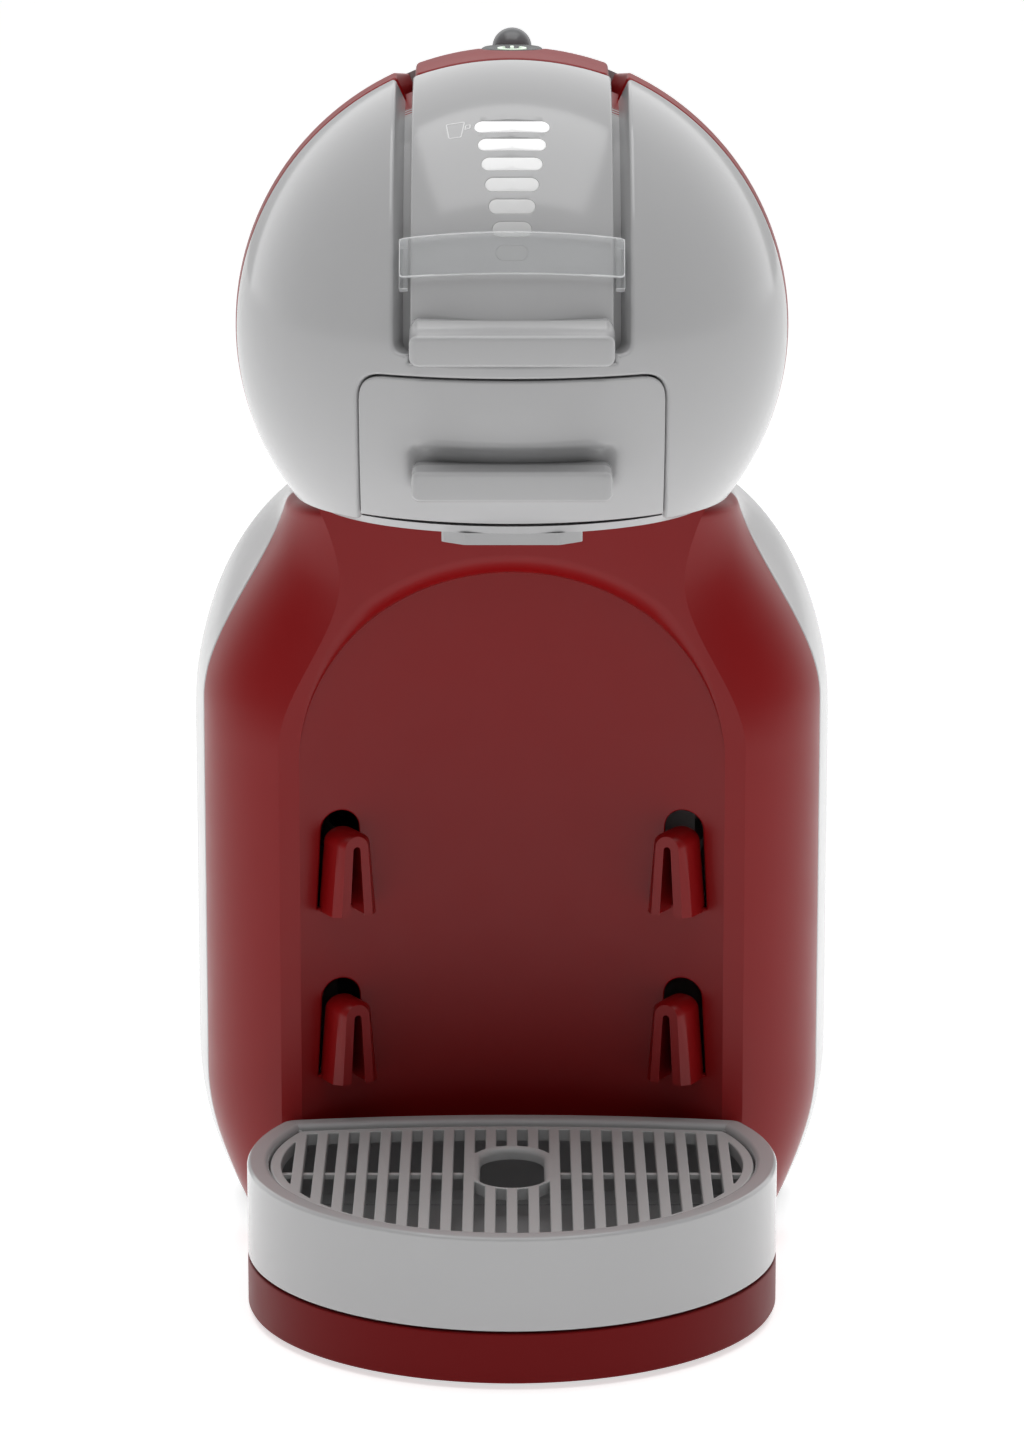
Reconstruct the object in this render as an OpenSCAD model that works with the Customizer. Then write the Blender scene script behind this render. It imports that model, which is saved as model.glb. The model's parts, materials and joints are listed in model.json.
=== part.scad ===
// Pod coffee machine, in millimetres. +Z is up, -Y is the front, +X is the machine's left side
// as seen from behind. The origin is on the table, under the middle of the machine.

/* [Head] */
// Radius of the ball-shaped head
head_r = 65.5; // [64:0.5:66]
// Height of the ball's centre
head_z = 236; // [235:0.5:237]
// Wall thickness of the head's shells
head_wall = 2.6; // [2.2:0.1:2.8]

/* [Lever] */
// Width of the lever strip
lever_w = 46; // [44:0.5:46]
// Half width of the lever's slot in the head
slot_half = 27.2; // [27:0.1:28]
// Number of light bars
bar_count = 7; // [5:1:7]

/* [Body] */
// Wall thickness of the body shells
body_wall = 2.5; // [2:0.1:3]
// Width of the recess behind the cup
recess_w = 103.6; // [100:0.2:104]

/* [Drip tray] */
// Radius of the round tray and plinth
tray_r = 63.8; // [63:0.1:64]
// Height of the tray's rim above the table
tray_top = 36.8; // [36:0.1:37.5]
// Distance between the grid's slots
slot_pitch = 5.15; // [5:0.05:5.3]

/* [Tank] */
// Outer width of the water tank
tank_w = 104; // [96:1:104]
// Height of the tank's rim above the table
tank_top = 226; // [200:1:228]

/* [Hidden] */
$fn = 96;
eps = 0.01;

// Head: a ball in front and a slowly narrowing barrel behind it, both about one axis along Y
head_y = -34;
rear_r = 57.4;
rear_round = 24;
rear_len = 94;
seam_y = -42;
floor_seam_y = -36;
hood_end = 10;
head_floor = 194;
neck_floor = 190;
slot_floor = 238;
slot_depth = 5.7;
drawer_half = 35.2;
drawer_top = 232.4;
drawer_low = 197.2;
drawer_corner = 6.3;
drawer_gap = 0.4;

// Lever: strip, cap and barrel about the hinge
hinge_y = 22;
hinge_z = 279;
barrel_r = 16;
pin_r = 3;
strip_t = 4.5;
cap_y = -48;
cap_w = 45;
cap_t = 3;
bar_w = 46.4;
bar_low = 236.4;
bar_high = 243.6;
light_step = 4.9;
light_first = 21.9;
light_h = 3.6;
button_y = -32.5;
button_r = 7.3;
selector_y = -13;
selector_z = 299.3;
ball_r = 4.7;
tilt_z = 290;

// Body: the flat panel, the seam between front shell and side covers, and the rear
panel_y = -24;
shell_low = 4.3;
widest_y = 34;
rear_y = 58;
rear_in = 7;
recess_r = 90;
recess_axis_y = panel_y - sqrt(recess_r * recess_r - recess_w * recess_w / 4);
arch_spring = 126;
arch_rise = 47;

// Drip tray
tray_y = -56.2;
tray_low = 13.9;
tray_back_r = 317;
tray_back_y = -20.1;
grid_top = 36.3;
grid_low = 32.4;
slot_w = 2.7;

// Tank
tank_front = 62;
tank_back = 120;
tank_low = 17;
tank_wall = 2;
lid_t = 5;
valve_y = 90;
lid_hinge_y = tank_back - 2.6;
lid_hinge_z = tank_top + 2.9;
lid_barrel = 2.55;
ear_x = 30;
ear_w = 5;
tank_corner = 8;
gland_x = 58;
gland_z = 26;

// Capsule drawer and brew unit
holder_y = tray_y;
guard_y = -75.2;
guard_half = 17.2;
guard_low = 191.3;
outlet_low = 189.6;
rail_z = 218;
plate_z = 236;

red = [0.45, 0.06, 0.07];
grey = [0.66, 0.66, 0.67];
dark = [0.16, 0.16, 0.17];

// ---------- shared shapes ----------

function smooth(t) = let (c = min(max(t, 0), 1)) c * c * (3 - 2 * c);

// Half width of the flat panel, of the seam at y = 0 and of the widest section, by height
function panel_half(z) = z > 172
    ? 41.6 + 4.7 * pow((z - 172) / 17, 1.6)
    : 56.8 - 15.2 * smooth((z - 130) / 42);
function seam_half(z) = z > 100
    ? 76.2 - 22.2 * smooth((z - 138) / 58)
    : 76.2 - 9.6 * pow(max(0, (44 - z) / 33), 2);
function side_half(z) = z > 100
    ? 45 + 35 * pow(max(0, 1 - pow(max(0, z - 128) / 62, 2)), 0.6)
    : 80 - 4.7 * pow(max(0, (47 - z) / 31), 2);

// Points on an arc from p to q that turns by twice the angle bulge, bowed to the right of p-q
function arc_points(p, q, bulge, n) = [for (i = [0 : n])
    let (
        a = -bulge + 2 * bulge * i / n,
        along = (sin(a) + sin(bulge)) / (2 * sin(bulge)),
        aside = (cos(a) - cos(bulge)) / (2 * sin(bulge)),
        d = q - p
    )
    p + along * d + aside * [d[1], -d[0]]];

// A closed solid through the outlines that front_outline or side_outline gives by height
module loft(levels, front, inset) {
    rings = [for (z = levels)
        [for (p = front ? front_outline(z, inset) : side_outline(z, inset)) [p[0], p[1], z]]];
    m = len(rings[0]);
    top = len(rings) - 1;
    polyhedron(
        points = [for (ring = rings) each ring],
        faces = concat(
            [[for (j = [0 : m - 1]) j]],
            [for (i = [0 : top - 1], j = [0 : m - 1]) let (a = i * m + j, b = i * m + (j + 1) % m)
                each [[a, a + m, b + m], [a, b + m, b]]],
            [[for (j = [m - 1 : -1 : 0]) top * m + j]]));
}

function front_outline(z, inset) = let (
        right = arc_points(
            [panel_half(z) - inset * 0.7, panel_y + inset],
            [seam_half(z) - inset, inset > 0 ? 2 : 0], 27, 5)
    )
    concat(right, [for (i = [5 : -1 : 0]) [-right[i][0], right[i][1]]]);

function side_outline(z, inset) = let (
        y0 = inset > 0 ? -3 : 0.1,
        y2 = rear_y + (inset > 0 ? 6 : 0.01),
        wide = side_half(z) - inset
    )
    concat(
        [[inset > 0 ? -5 : 0, y0]],
        arc_points([seam_half(z) - inset, y0], [wide, widest_y], 6, 3),
        [[wide - 1, 44], [wide - 3, 52 - inset * 0.4], [wide - rear_in - inset * 0.2, rear_y - inset * 0.4],
            [wide - rear_in - inset * 0.2, y2], [inset > 0 ? -5 : 0, y2]]);

function shell_levels(low, high) = concat(
    [low, 12, 20, 29, 38, 47],
    [for (i = [0 : 7]) 128 + i * 7.8],
    [for (z = [186, 188.4]) if (z < high) z],
    [high]);

// The head's outline turned about its axis, made smaller by inset
module head_solid(inset = 0) {
    translate([0, head_y, head_z])
        rotate([-90, 0, 0])
            rotate_extrude()
                intersection() {
                    union() {
                        intersection() {
                            circle(head_r - inset);
                            translate([0, -100]) square([100, 100]);
                        }
                        polygon([
                            [0, -1], [head_r - inset, 0], [rear_r - inset, rear_len - rear_round],
                            [rear_r - rear_round, rear_len - inset], [0, rear_len - inset]
                        ]);
                        translate([rear_r - rear_round, rear_len - rear_round])
                            circle(rear_round - inset);
                    }
                    translate([0, -100]) square([100, 300]);
                }
}

// What lies between two insets of the head's outline
module head_shell(outer = 0, inner = head_wall) {
    difference() {
        head_solid(outer);
        head_solid(inner);
    }
}

module slab(y0, y1, z0 = 150, z1 = 320, half = 80) {
    translate([-half, y0, z0]) cube([2 * half, y1 - y0, z1 - z0]);
}

module x_cylinder(r, half, y, z) {
    translate([-half, y, z]) rotate([0, 90, 0]) cylinder(r = r, h = 2 * half);
}

module rounded_plate(w, h, r, t) {
    linear_extrude(t) {
        translate([-w / 2, r]) square([w, h - 2 * r]);
        translate([-w / 2 + r, 0]) square([w - 2 * r, h]);
        for (x = [-1, 1], z = [r, h - r])
            translate([x * (w / 2 - r), z]) circle(r);
    }
}

// A bar with round ends and round long edges, lying along X
module grab_bar(w, low, high, front, back) {
    r = (high - low) / 2;
    translate([-w / 2, front + r, low]) cube([w, back - front - r, high - low]);
    x_cylinder(r, w / 2, front + r, (low + high) / 2);
}

// Straight tubes from point to point, each run past its inner ends to fill the corners
module hose(points, r) {
    last = len(points) - 2;
    for (i = [0 : last]) {
        d = points[i + 1] - points[i];
        before = i > 0 ? 0.9 * r : 0;
        after = i < last ? 0.9 * r : 0;
        translate(points[i])
            rotate([0, acos(d[2] / norm(d)), atan2(d[1], d[0])])
                translate([0, 0, -before])
                    cylinder(r = r, h = norm(d) + before + after, $fn = 12);
    }
}

module coil(r, wire, low, high, turns) {
    step = (high - low - 2 * wire) / (turns - 1);
    for (i = [0 : turns - 1])
        translate([0, 0, low + wire + i * step])
            rotate_extrude() translate([r, 0]) circle(wire);
    translate([r, 0, low + wire]) cylinder(r = wire * 0.8, h = high - low - 2 * wire);
}

module tray_outline(inset) {
    intersection() {
        circle(tray_r - inset);
        translate([0, tray_back_y - tray_y - tray_back_r]) circle(tray_back_r - inset);
    }
}

// ---------- base ----------

module base_plinth() {
    color(red) difference() {
        intersection() {
            translate([0, tray_y, 1.2]) cylinder(r = tray_r, h = 12.4);
            union() {
                translate([-80, -140, 0]) cube([160, 140 + panel_y - 0.4, 20]);
                translate([0, recess_axis_y, 0]) cylinder(r = recess_r - 0.5, h = 20);
            }
        }
        translate([0, tray_y, 0]) cylinder(r = tray_r - 3, h = 11);
        foot_sockets();
    }
}

module bottom_plate() {
    half = [[55, panel_y + 1], [61, 0], [69.5, widest_y], [64, rear_y - 2], [58, rear_y + 4]];
    color(dark) difference() {
        union() {
            translate([0, 0, 1.2]) linear_extrude(3)
                polygon(concat(half, [for (i = [4 : -1 : 0]) [-half[i][0], half[i][1]]]));
            translate([0, 40, 1.2]) rounded_plate(112, 78, 24, 3);
            translate([0, tray_y, 1.2]) cylinder(r = tray_r - 3.3, h = 3);
        }
        foot_sockets();
        for (x = [-50, 50], y = [0, 50])
            translate([x, y, 0]) cylinder(r = 1.6, h = 10);
    }
}

foot_places = [[-40, -88], [40, -88], [-48, 104], [48, 104], [0, 10]];

module foot_sockets() {
    for (p = foot_places)
        translate([p[0], p[1], 0]) cylinder(r = 6, h = 2.4);
}

module rubber_feet() {
    color("black") for (p = foot_places)
        translate([p[0], p[1], 0]) cylinder(r = 5.9, h = 2.4);
}

// ---------- body shells ----------

module arch(inset, y0, y1) {
    half = recess_w / 2 - inset;
    translate([0, y1, 0]) rotate([90, 0, 0]) linear_extrude(y1 - y0)
        polygon(concat(
            [[half, 0], [half, arch_spring]],
            [for (a = [10 : 10 : 170])
                [half * cos(a), arch_spring + (arch_rise - inset) * sin(a)]],
            [[-half, arch_spring], [-half, 0]]));
}

// One tray hanger: two legs joined at the top, standing off the recess wall
module hanger() {
    difference() {
        rotate([90, 0, 0]) linear_extrude(8.5)
            polygon([[-6.2, 0], [6.2, 0], [4.6, 15], [2.4, 18], [-2.4, 18], [-4.6, 15]]);
        translate([-1.7, -9, -1]) cube([3.4, 7.5, 14]);
    }
}

hanger_x = 40.8;
hanger_levels = [46, 88.5];

module at_hangers() {
    for (side = [-1, 1], z = hanger_levels)
        translate([side * hanger_x, 0, z])
            translate([0, recess_axis_y + sqrt(recess_r * recess_r - hanger_x * hanger_x), 0])
                rotate([0, 0, -side * asin(hanger_x / recess_r)])
                    children();
}

module front_shell() {
    color(red) union() {
        difference() {
            union() {
                difference() {
                    loft(shell_levels(shell_low, neck_floor), true, 0);
                    loft(shell_levels(shell_low - 1, neck_floor - body_wall), true, body_wall);
                }
                intersection() {
                    loft(shell_levels(shell_low, neck_floor), true, 0.6);
                    arch(-body_wall, -60, -2);
                    translate([0, recess_axis_y, 0])
                        cylinder(r = recess_r + body_wall, h = 190, $fn = 160);
                }
            }
            intersection() {
                arch(0, -60, 0);
                translate([0, recess_axis_y, 0]) cylinder(r = recess_r, h = 190, $fn = 160);
            }
            translate([-36, -17, neck_floor - 10]) cube([72, 30, 20]);
            at_hangers() translate([0, -2, 20.5]) rotate([-90, 0, 0])
                cylinder(r = 2.2, h = 8, $fn = 24);
        }
        at_hangers() translate([0, 0.6, 0]) hanger();
    }
}

module side_cover() {
    difference() {
        loft(shell_levels(shell_low, neck_floor), false, 0);
        loft(shell_levels(shell_low - 1, neck_floor - body_wall), false, body_wall);
        translate([-1, -1, neck_floor - 10]) cube([41, 80, 20]);
    }
}

module side_cover_right() {
    color(grey) side_cover();
}

module side_cover_left() {
    color(grey) mirror([1, 0, 0]) side_cover();
}

module rear_cover() {
    levels = shell_levels(shell_low + 0.2, neck_floor - body_wall - 0.2);
    edge = [for (z = levels) [side_half(z) - body_wall * 1.2 - rear_in - 0.2, z]];
    last = len(edge) - 1;
    color(grey) difference() {
        translate([0, rear_y - 0.2, 0]) rotate([90, 0, 0]) linear_extrude(2.5)
            polygon(concat(edge, [for (i = [last : -1 : 0]) [-edge[i][0], edge[i][1]]]));
        translate([gland_x, rear_y - 10, gland_z]) rotate([-90, 0, 0]) cylinder(r = 5, h = 20);
        translate([-7, rear_y - 10, 8]) cube([14, 20, 8]);
    }
}

// ---------- head shells ----------

module head_cut_below() {
    slab(-140, panel_y, 100, head_floor);
    slab(panel_y - 1, 100, 100, neck_floor + 0.05);
}

module lever_slot() {
    slab(-140, hood_end + eps, slot_floor, 320, slot_half);
    slab(-140, -60, bar_low - 0.4, slot_floor + eps, bar_w / 2 + 0.4);
}

// Walls and floors of the two channels beside the lever
module channel_walls() {
    for (side = [-1, 1]) {
        intersection() {
            head_shell(0.02, slot_depth + 2);
            translate([side * (slot_half + 0.9) - 0.9, -140, slot_floor - 2])
                cube([1.8, 140 + hood_end, 90]);
        }
        intersection() {
            head_shell(slot_depth, slot_depth + 2);
            translate([side * 24.4 - 4.4, -140, slot_floor - 2]) cube([8.8, 140 + hood_end, 90]);
        }
    }
}

module drawer_opening() {
    w = 2 * (drawer_half + drawer_gap);
    translate([0, -70, 0]) rotate([90, 0, 0])
        translate([0, 180]) rounded_plate(w, drawer_top + drawer_gap - 180, drawer_corner, 60);
}

module head_bezel() {
    color(grey) difference() {
        intersection() {
            union() {
                difference() {
                    head_shell();
                    lever_slot();
                }
                channel_walls();
            }
            slab(-120, seam_y);
        }
        head_cut_below();
        drawer_opening();
    }
}

module head_hood() {
    color(red) union() {
        difference() {
            intersection() {
                union() {
                    difference() {
                        head_shell();
                        lever_slot();
                    }
                    channel_walls();
                }
                slab(seam_y, hood_end);
            }
            head_cut_below();
        }
        intersection() {
            head_solid(0.5);
            slab(floor_seam_y, panel_y - 0.2, head_floor, head_floor + 2);
        }
    }
}

module head_rear_cover() {
    color(grey) difference() {
        intersection() {
            head_shell();
            slab(hood_end, 62);
        }
        head_cut_below();
        x_cylinder(barrel_r + 0.7, slot_half - 3.8, hinge_y, hinge_z);
        slab(hood_end - 1, hinge_y + barrel_r + 0.7, hinge_z, 320, slot_half - 3.8);
    }
}

module outlet_guard(grow, low, high) {
    translate([0, guard_y, low]) linear_extrude(high - low) offset(r = 2) offset(delta = grow - 2)
        polygon([[-guard_half, 0], [-11, -5.2], [11, -5.2], [guard_half, 0], [12, 6], [-12, 6]]);
}

module head_underside() {
    color(grey) difference() {
        union() {
            intersection() {
                head_solid(head_wall + 0.05);
                slab(-120, floor_seam_y - 0.1, head_floor, head_floor + 2);
            }
            outlet_guard(0, guard_low, head_floor + 0.1);
            translate([0, holder_y, outlet_low]) cylinder(r = 9, h = head_floor + 0.5 - outlet_low);
        }
        translate([0, holder_y, 180]) cylinder(r = 7, h = 20);
        outlet_guard(-2, guard_low - 1, guard_low + 1.4);
    }
}

// ---------- inner frame and mechanism ----------

module chassis() {
    color(dark) difference() {
        union() {
            translate([-38, 10, 4.2]) cube([76, 3, 258]);
            translate([-29, -72, 262]) cube([58, 82.1, 3]);
            for (side = [-1, 1]) {
                intersection() {
                    translate([side * 26.9 - 1.6, 9.9, 255]) cube([3.2, 24, 31]);
                    head_solid(head_wall + 0.4);
                }
                translate([side * 36.5 - 1.5, -70, 216]) cube([3, 80.1, 10]);
            }
            for (z = [43.5, 99.5]) translate([pump_x, pump_y, z]) difference() {
                cylinder(r = 18.5, h = 3);
                translate([0, 0, -1]) cylinder(r = 14, h = 5);
            }
            translate([25, 12.9, 80]) cube([8, 5.1, 4]);
            translate([-4, 12.9, 146]) cube([8, 5.1, 4]);
            translate([-58, 10, 88]) cube([20.1, 4, 10]);
            translate([-38, -16, 196.2]) cube([76, 26.1, 3]);
        }
        x_cylinder(pin_r, 40, hinge_y, hinge_z);
        for (x = [-24, 24]) translate([x, holder_y, 255]) cylinder(r = 2.5, h = 20);
        translate([-18, -75, 250]) cube([36, 60, 20]);
        translate([-22, 5, 205]) cube([44, 12, 50]);
        translate([-24, 5, 268]) cube([48, 6, 20]);
        difference() {
            slab(-90, 60, neck_floor - 0.4);
            head_solid(head_wall + 0.3);
        }
    }
}

module hinge_pin() {
    color("silver") x_cylinder(pin_r, 28.6, hinge_y, hinge_z);
}

module drawer_rails() {
    color("white") for (side = [-1, 1]) mirror([side < 0 ? 1 : 0, 0, 0])
        translate([35, -28, 0]) rotate([90, 0, 0]) linear_extrude(46)
            polygon([[-2.5, rail_z], [0, rail_z], [0, rail_z + 8], [-2, rail_z + 8],
                [-2, rail_z + 6], [-1.2, rail_z + 6], [-1.2, rail_z + 2.6],
                [-2.5, rail_z + 2.6]]);
}

module guide_posts() {
    color("silver") for (x = [-24, 24])
        translate([x, holder_y, 233.4]) cylinder(r = 2.5, h = 31.6);
}

module thermoblock() {
    color("silver") difference() {
        union() {
            translate([12, 18, 66]) cube([34, 26, 62]);
            for (z = [74 : 10 : 120]) translate([10, 20, z]) cube([38, 22, 3]);
            for (z = [64, 128]) translate([29, 31, z - 4]) cylinder(r = 4, h = 8);
        }
        translate([29, 31, 55]) cylinder(r = 2, h = 80);
    }
}

module thermal_fuse() {
    color("white") translate([29, 44, 97]) rotate([-90, 0, 0]) cylinder(r = 8, h = 5);
}

pump_x = -28;
pump_y = 31;

module pump() {
    color(dark) translate([pump_x, pump_y, 0]) difference() {
        union() {
            translate([0, 0, 38]) cylinder(r = 9, h = 76);
            translate([-16, -14, 52]) cube([32, 28, 34]);
            translate([0, 0, 108]) cylinder(r = 4, h = 16);
            translate([0, 0, 30]) cylinder(r = 3.5, h = 9);
        }
        translate([0, 0, 44]) cylinder(r = 5, h = 60);
        translate([0, 0, 25]) cylinder(r = 1.8, h = 110);
    }
}

module pump_piston() {
    color("silver") translate([pump_x, pump_y, 0]) difference() {
        translate([0, 0, 52]) cylinder(r = 4.94, h = 38);
        translate([0, 0, 50]) cylinder(r = 1.5, h = 50);
    }
}

module pump_mounts() {
    color("black") for (z = [42, 98])
        translate([pump_x, pump_y, z]) difference() {
            cylinder(r = 14, h = 6);
            translate([0, 0, -1]) cylinder(r = 9, h = 8);
        }
}

module flow_meter() {
    color("white") translate([0, 36, 24]) difference() {
        union() {
            cylinder(r = 12, h = 14);
            translate([0, -8, 7]) rotate([0, 90, 0]) cylinder(r = 3, h = 18);
            translate([-18, 8, 7]) rotate([0, 90, 0]) cylinder(r = 3, h = 18);
        }
        translate([0, 0, 2]) cylinder(r = 10, h = 10);
        translate([2, -8, 7]) rotate([0, 90, 0]) cylinder(r = 1.5, h = 20);
        translate([-20, 8, 7]) rotate([0, 90, 0]) cylinder(r = 1.5, h = 18);
    }
}

module flow_rotor() {
    color("blue") translate([0, 36, 26.4]) {
        cylinder(r = 2.4, h = 9);
        for (a = [0 : 60 : 300])
            rotate([0, 0, a]) translate([0, -0.6, 1]) cube([9, 1.2, 7]);
    }
}

module hot_cold_valve() {
    color([0.7, 0.55, 0.25]) {
        translate([-12, 18, 140]) cube([24, 22, 16]);
        for (x = [-7, 7]) translate([x, 29, 155.9]) cylinder(r = 5.5, h = 22);
        translate([0, 29, 132]) cylinder(r = 3.5, h = 8.1);
        translate([11.9, 29, 148]) rotate([0, 90, 0]) cylinder(r = 3, h = 8);
    }
}

module main_board() {
    color("green") translate([-58, 14, 60]) cube([1.6, 38, 66]);
}

module board_parts() {
    color(dark) {
        translate([-56.4, 18, 66]) cube([10, 16, 20]);
        translate([-56.4, 22, 96]) cube([8, 20, 12]);
        for (z = [68, 80]) translate([-56.4, 44, z]) rotate([0, 90, 0]) cylinder(r = 4, h = 9);
    }
}

module lever_switch() {
    color("black") {
        translate([-27, -18, 265]) cube([9, 16, 6]);
        translate([-24, -12, 270.9]) cylinder(r = 1.2, h = 1.4);
    }
}

module water_hoses() {
    color("ivory") {
        hose([[0, 60, 12], [0, 52, 12], [24, 50, 22], [24, 28, 31], [18, 28, 31]], 2.6);
        hose([[-18, 44, 31], [-22, 44, 31], [-27, 42, 26], [-28, 31, 22], [-28, 31, 30]], 2.6);
        hose([[-28, 31, 124], [-28, 31, 132], [-8, 48.5, 134], [18, 48.5, 56], [29, 31, 52],
            [29, 31, 60]], 2.6);
        hose([[29, 31, 132], [29, 31, 140], [26, 29, 148], [19.9, 29, 148]], 2.6);
        hose([[0, 40, 150], [0, 44, 150], [0, 48, 160], [0, 48, 225], [0, 30, 244], [0, -8, 248]], 2.6);
    }
}

// ---------- tank dock ----------

module tank_dock() {
    color(dark) difference() {
        union() {
            translate([0, 60, 4.2]) rounded_plate(100, 58, 14, 12.6);
        }
        translate([0, valve_y, 8]) cylinder(r = 11, h = 20);
        translate([0, 57, 12]) rotate([-90, 0, 0]) cylinder(r = 2.6, h = 24);
    }
}

module dock_seal() {
    color("black") translate([0, valve_y, 8]) difference() {
        cylinder(r = 11, h = 6);
        translate([0, 0, -1]) cylinder(r = 8.5, h = 10);
    }
}

module cord_gland() {
    color("black") translate([gland_x, 53, gland_z]) rotate([-90, 0, 0]) difference() {
        union() {
            cylinder(r = 5, h = 9);
            translate([0, 0, 5]) cylinder(r = 7, h = 4);
            cylinder(r = 7, h = 2.2);
        }
        translate([0, 0, -1]) cylinder(r = 3.4, h = 12);
    }
}

module case_screws() {
    color("silver") for (x = [-50, 50], y = [0, 50])
        translate([x, y, 0.8]) {
            cylinder(r = 2.8, h = 0.4);
            cylinder(r = 1.6, h = 12);
        }
}

// ---------- lever ----------

module light_bar(i, grow) {
    w = 7.3 + 9.9 * i / (bar_count - 1) + 2 * grow;
    h = light_h + 2 * grow;
    translate([0, head_y, head_z])
        rotate([-(light_first + light_step * i), 0, 0])
            translate([0, -head_r + 3, 0]) rotate([90, 0, 0]) {
                translate([-(w - h) / 2, -h / 2, 0]) cube([w - h, h, 6]);
                for (x = [-1, 1]) translate([x * (w - h) / 2, 0, 0]) cylinder(r = h / 2, h = 6);
            }
}

module lever_front() {
    color(grey) difference() {
        union() {
            intersection() {
                head_shell(0, strip_t);
                slab(-120, cap_y, bar_high - 2, 320, lever_w / 2);
            }
            intersection() {
                grab_bar(bar_w, bar_low, bar_high, -105, -80);
                difference() {
                    slab(-120, -80);
                    head_solid(strip_t + 1);
                }
            }
        }
        for (i = [0 : bar_count - 1]) light_bar(i, 0.03);
    }
}

module lever_cap() {
    color(red) difference() {
        union() {
            intersection() {
                head_shell(0, cap_t);
                slab(cap_y + 0.05, hinge_y, 260, 320, cap_w / 2);
            }
            intersection() {
                difference() {
                    x_cylinder(barrel_r, cap_w / 2, hinge_y, hinge_z);
                    x_cylinder(barrel_r - cap_t, cap_w, hinge_y, hinge_z);
                }
                head_solid(0);
                slab(hinge_y - 0.5, 60, 262, 320);
            }
        }
        translate([0, button_y, 280]) cylinder(r = button_r + 0.3, h = 40);
        selector_slot(5.2);
    }
}

module selector_slot(r) {
    translate([0, selector_y, 285]) {
        for (x = [-2.9, 2.9]) translate([x, 0, 0]) cylinder(r = r, h = 30);
        translate([-2.9, -r, 0]) cube([5.8, 2 * r, 30]);
    }
}

module lever_frame() {
    color(dark) {
        for (x = [-15, 12])
            translate([x, 0, 0]) rotate([90, 0, 90]) linear_extrude(3) difference() {
                union() {
                    intersection() {
                        translate([head_y, head_z]) difference() {
                            circle(58.6);
                            circle(50);
                        }
                        translate([-86, 267]) square([106, 40]);
                    }
                    translate([-12, 281]) square([34, 8]);
                    translate([hinge_y, hinge_z]) circle(12);
                }
                translate([hinge_y, hinge_z]) circle(pin_r + 0.05);
            }
        difference() {
            x_cylinder(6, 12.5, hinge_y, hinge_z);
            x_cylinder(pin_r + 0.05, 20, hinge_y, hinge_z);
        }
        for (y = [-62, -22]) translate([-12.5, y, 284]) cube([25, 4, 3]);
        translate([-12.5, hinge_y - 3, 286]) cube([25, 4, 3]);
    }
}

module light_bars() {
    color("white") intersection() {
        union() for (i = [0 : bar_count - 1]) light_bar(i, 0);
        translate([0, head_y, head_z]) sphere(head_r, $fn = 160);
    }
}

module display_board() {
    color("green") intersection() {
        head_shell(strip_t + 0.2, strip_t + 1.4);
        slab(-97, cap_y - 4, 256, 300, 10);
    }
}

module power_button() {
    color(dark) {
        intersection() {
            translate([0, button_y, 295.9]) cylinder(r = button_r, h = 10);
            head_solid(0);
        }
        translate([0, button_y, 295]) cylinder(r = 8.8, h = 1.6);
    }
}

module button_spring() {
    color("silver") translate([0, button_y, 0]) coil(4, 0.35, 291.3, 294.9, 4);
}

module selector_seat() {
    color(dark) difference() {
        union() {
            translate([-11.9, selector_y - 5, 286.4]) cube([23.8, 10, 5]);
            translate([-11.9, button_y - 6, 288.8]) cube([23.8, 19.5, 2.4]);
        }
        translate([0, selector_y - 8, tilt_z]) rotate([-90, 0, 0]) cylinder(r = 2.06, h = 16);
        translate([-3, selector_y - 2.6, 280]) cube([6, 5.2, 20]);
    }
}

module selector_ball() {
    color("gray") {
        translate([0, selector_y, selector_z]) sphere(ball_r);
        translate([0, selector_y, tilt_z]) cylinder(r = 1.8, h = 8);
        translate([0, selector_y - 4.8, tilt_z]) rotate([-90, 0, 0]) cylinder(r = 2, h = 9.6);
    }
}

// Space between two elevation angles about the head's centre, in front of it
module wedge(a0, a1) {
    translate([-40, head_y, head_z]) rotate([90, 0, 90]) linear_extrude(80)
        polygon([[0, 0], for (a = [a0, (a0 + a1) / 2, a1]) [-90 * cos(a), 90 * sin(a)]]);
}

module volume_slider() {
    color([0.9, 0.95, 1, 0.4]) intersection() {
        wedge(18, 26.4);
        union() {
            difference() {
                translate([0, head_y, head_z]) sphere(head_r + 2);
                translate([0, head_y, head_z]) sphere(head_r + 0.4);
                for (side = [-1, 1])
                    translate([side * 60 - 34.6, -140, 200]) cube([69.2, 140, 100]);
            }
            for (side = [-1, 1])
                intersection() {
                    difference() {
                        translate([0, head_y, head_z]) sphere(head_r + 2);
                        translate([0, head_y, head_z]) sphere(head_r - 4.6);
                    }
                    translate([side * 24.5 - 1.1, -140, 200]) cube([2.2, 140, 100]);
                }
        }
    }
}

// ---------- capsule drawer and brew unit ----------

module drawer_front() {
    color(grey) {
        intersection() {
            head_shell(0, 3);
            translate([0, -70, 0]) rotate([90, 0, 0]) translate([0, drawer_low])
                rounded_plate(2 * drawer_half, drawer_top - drawer_low, 1, 60);
            translate([0, -70, 0]) rotate([90, 0, 0]) translate([0, drawer_low - 20])
                rounded_plate(2 * drawer_half, drawer_top - drawer_low + 20, drawer_corner, 60);
        }
        difference() {
            grab_bar(45.6, 206, 213, -102, -84);
            head_solid(2);
        }
    }
}

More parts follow.
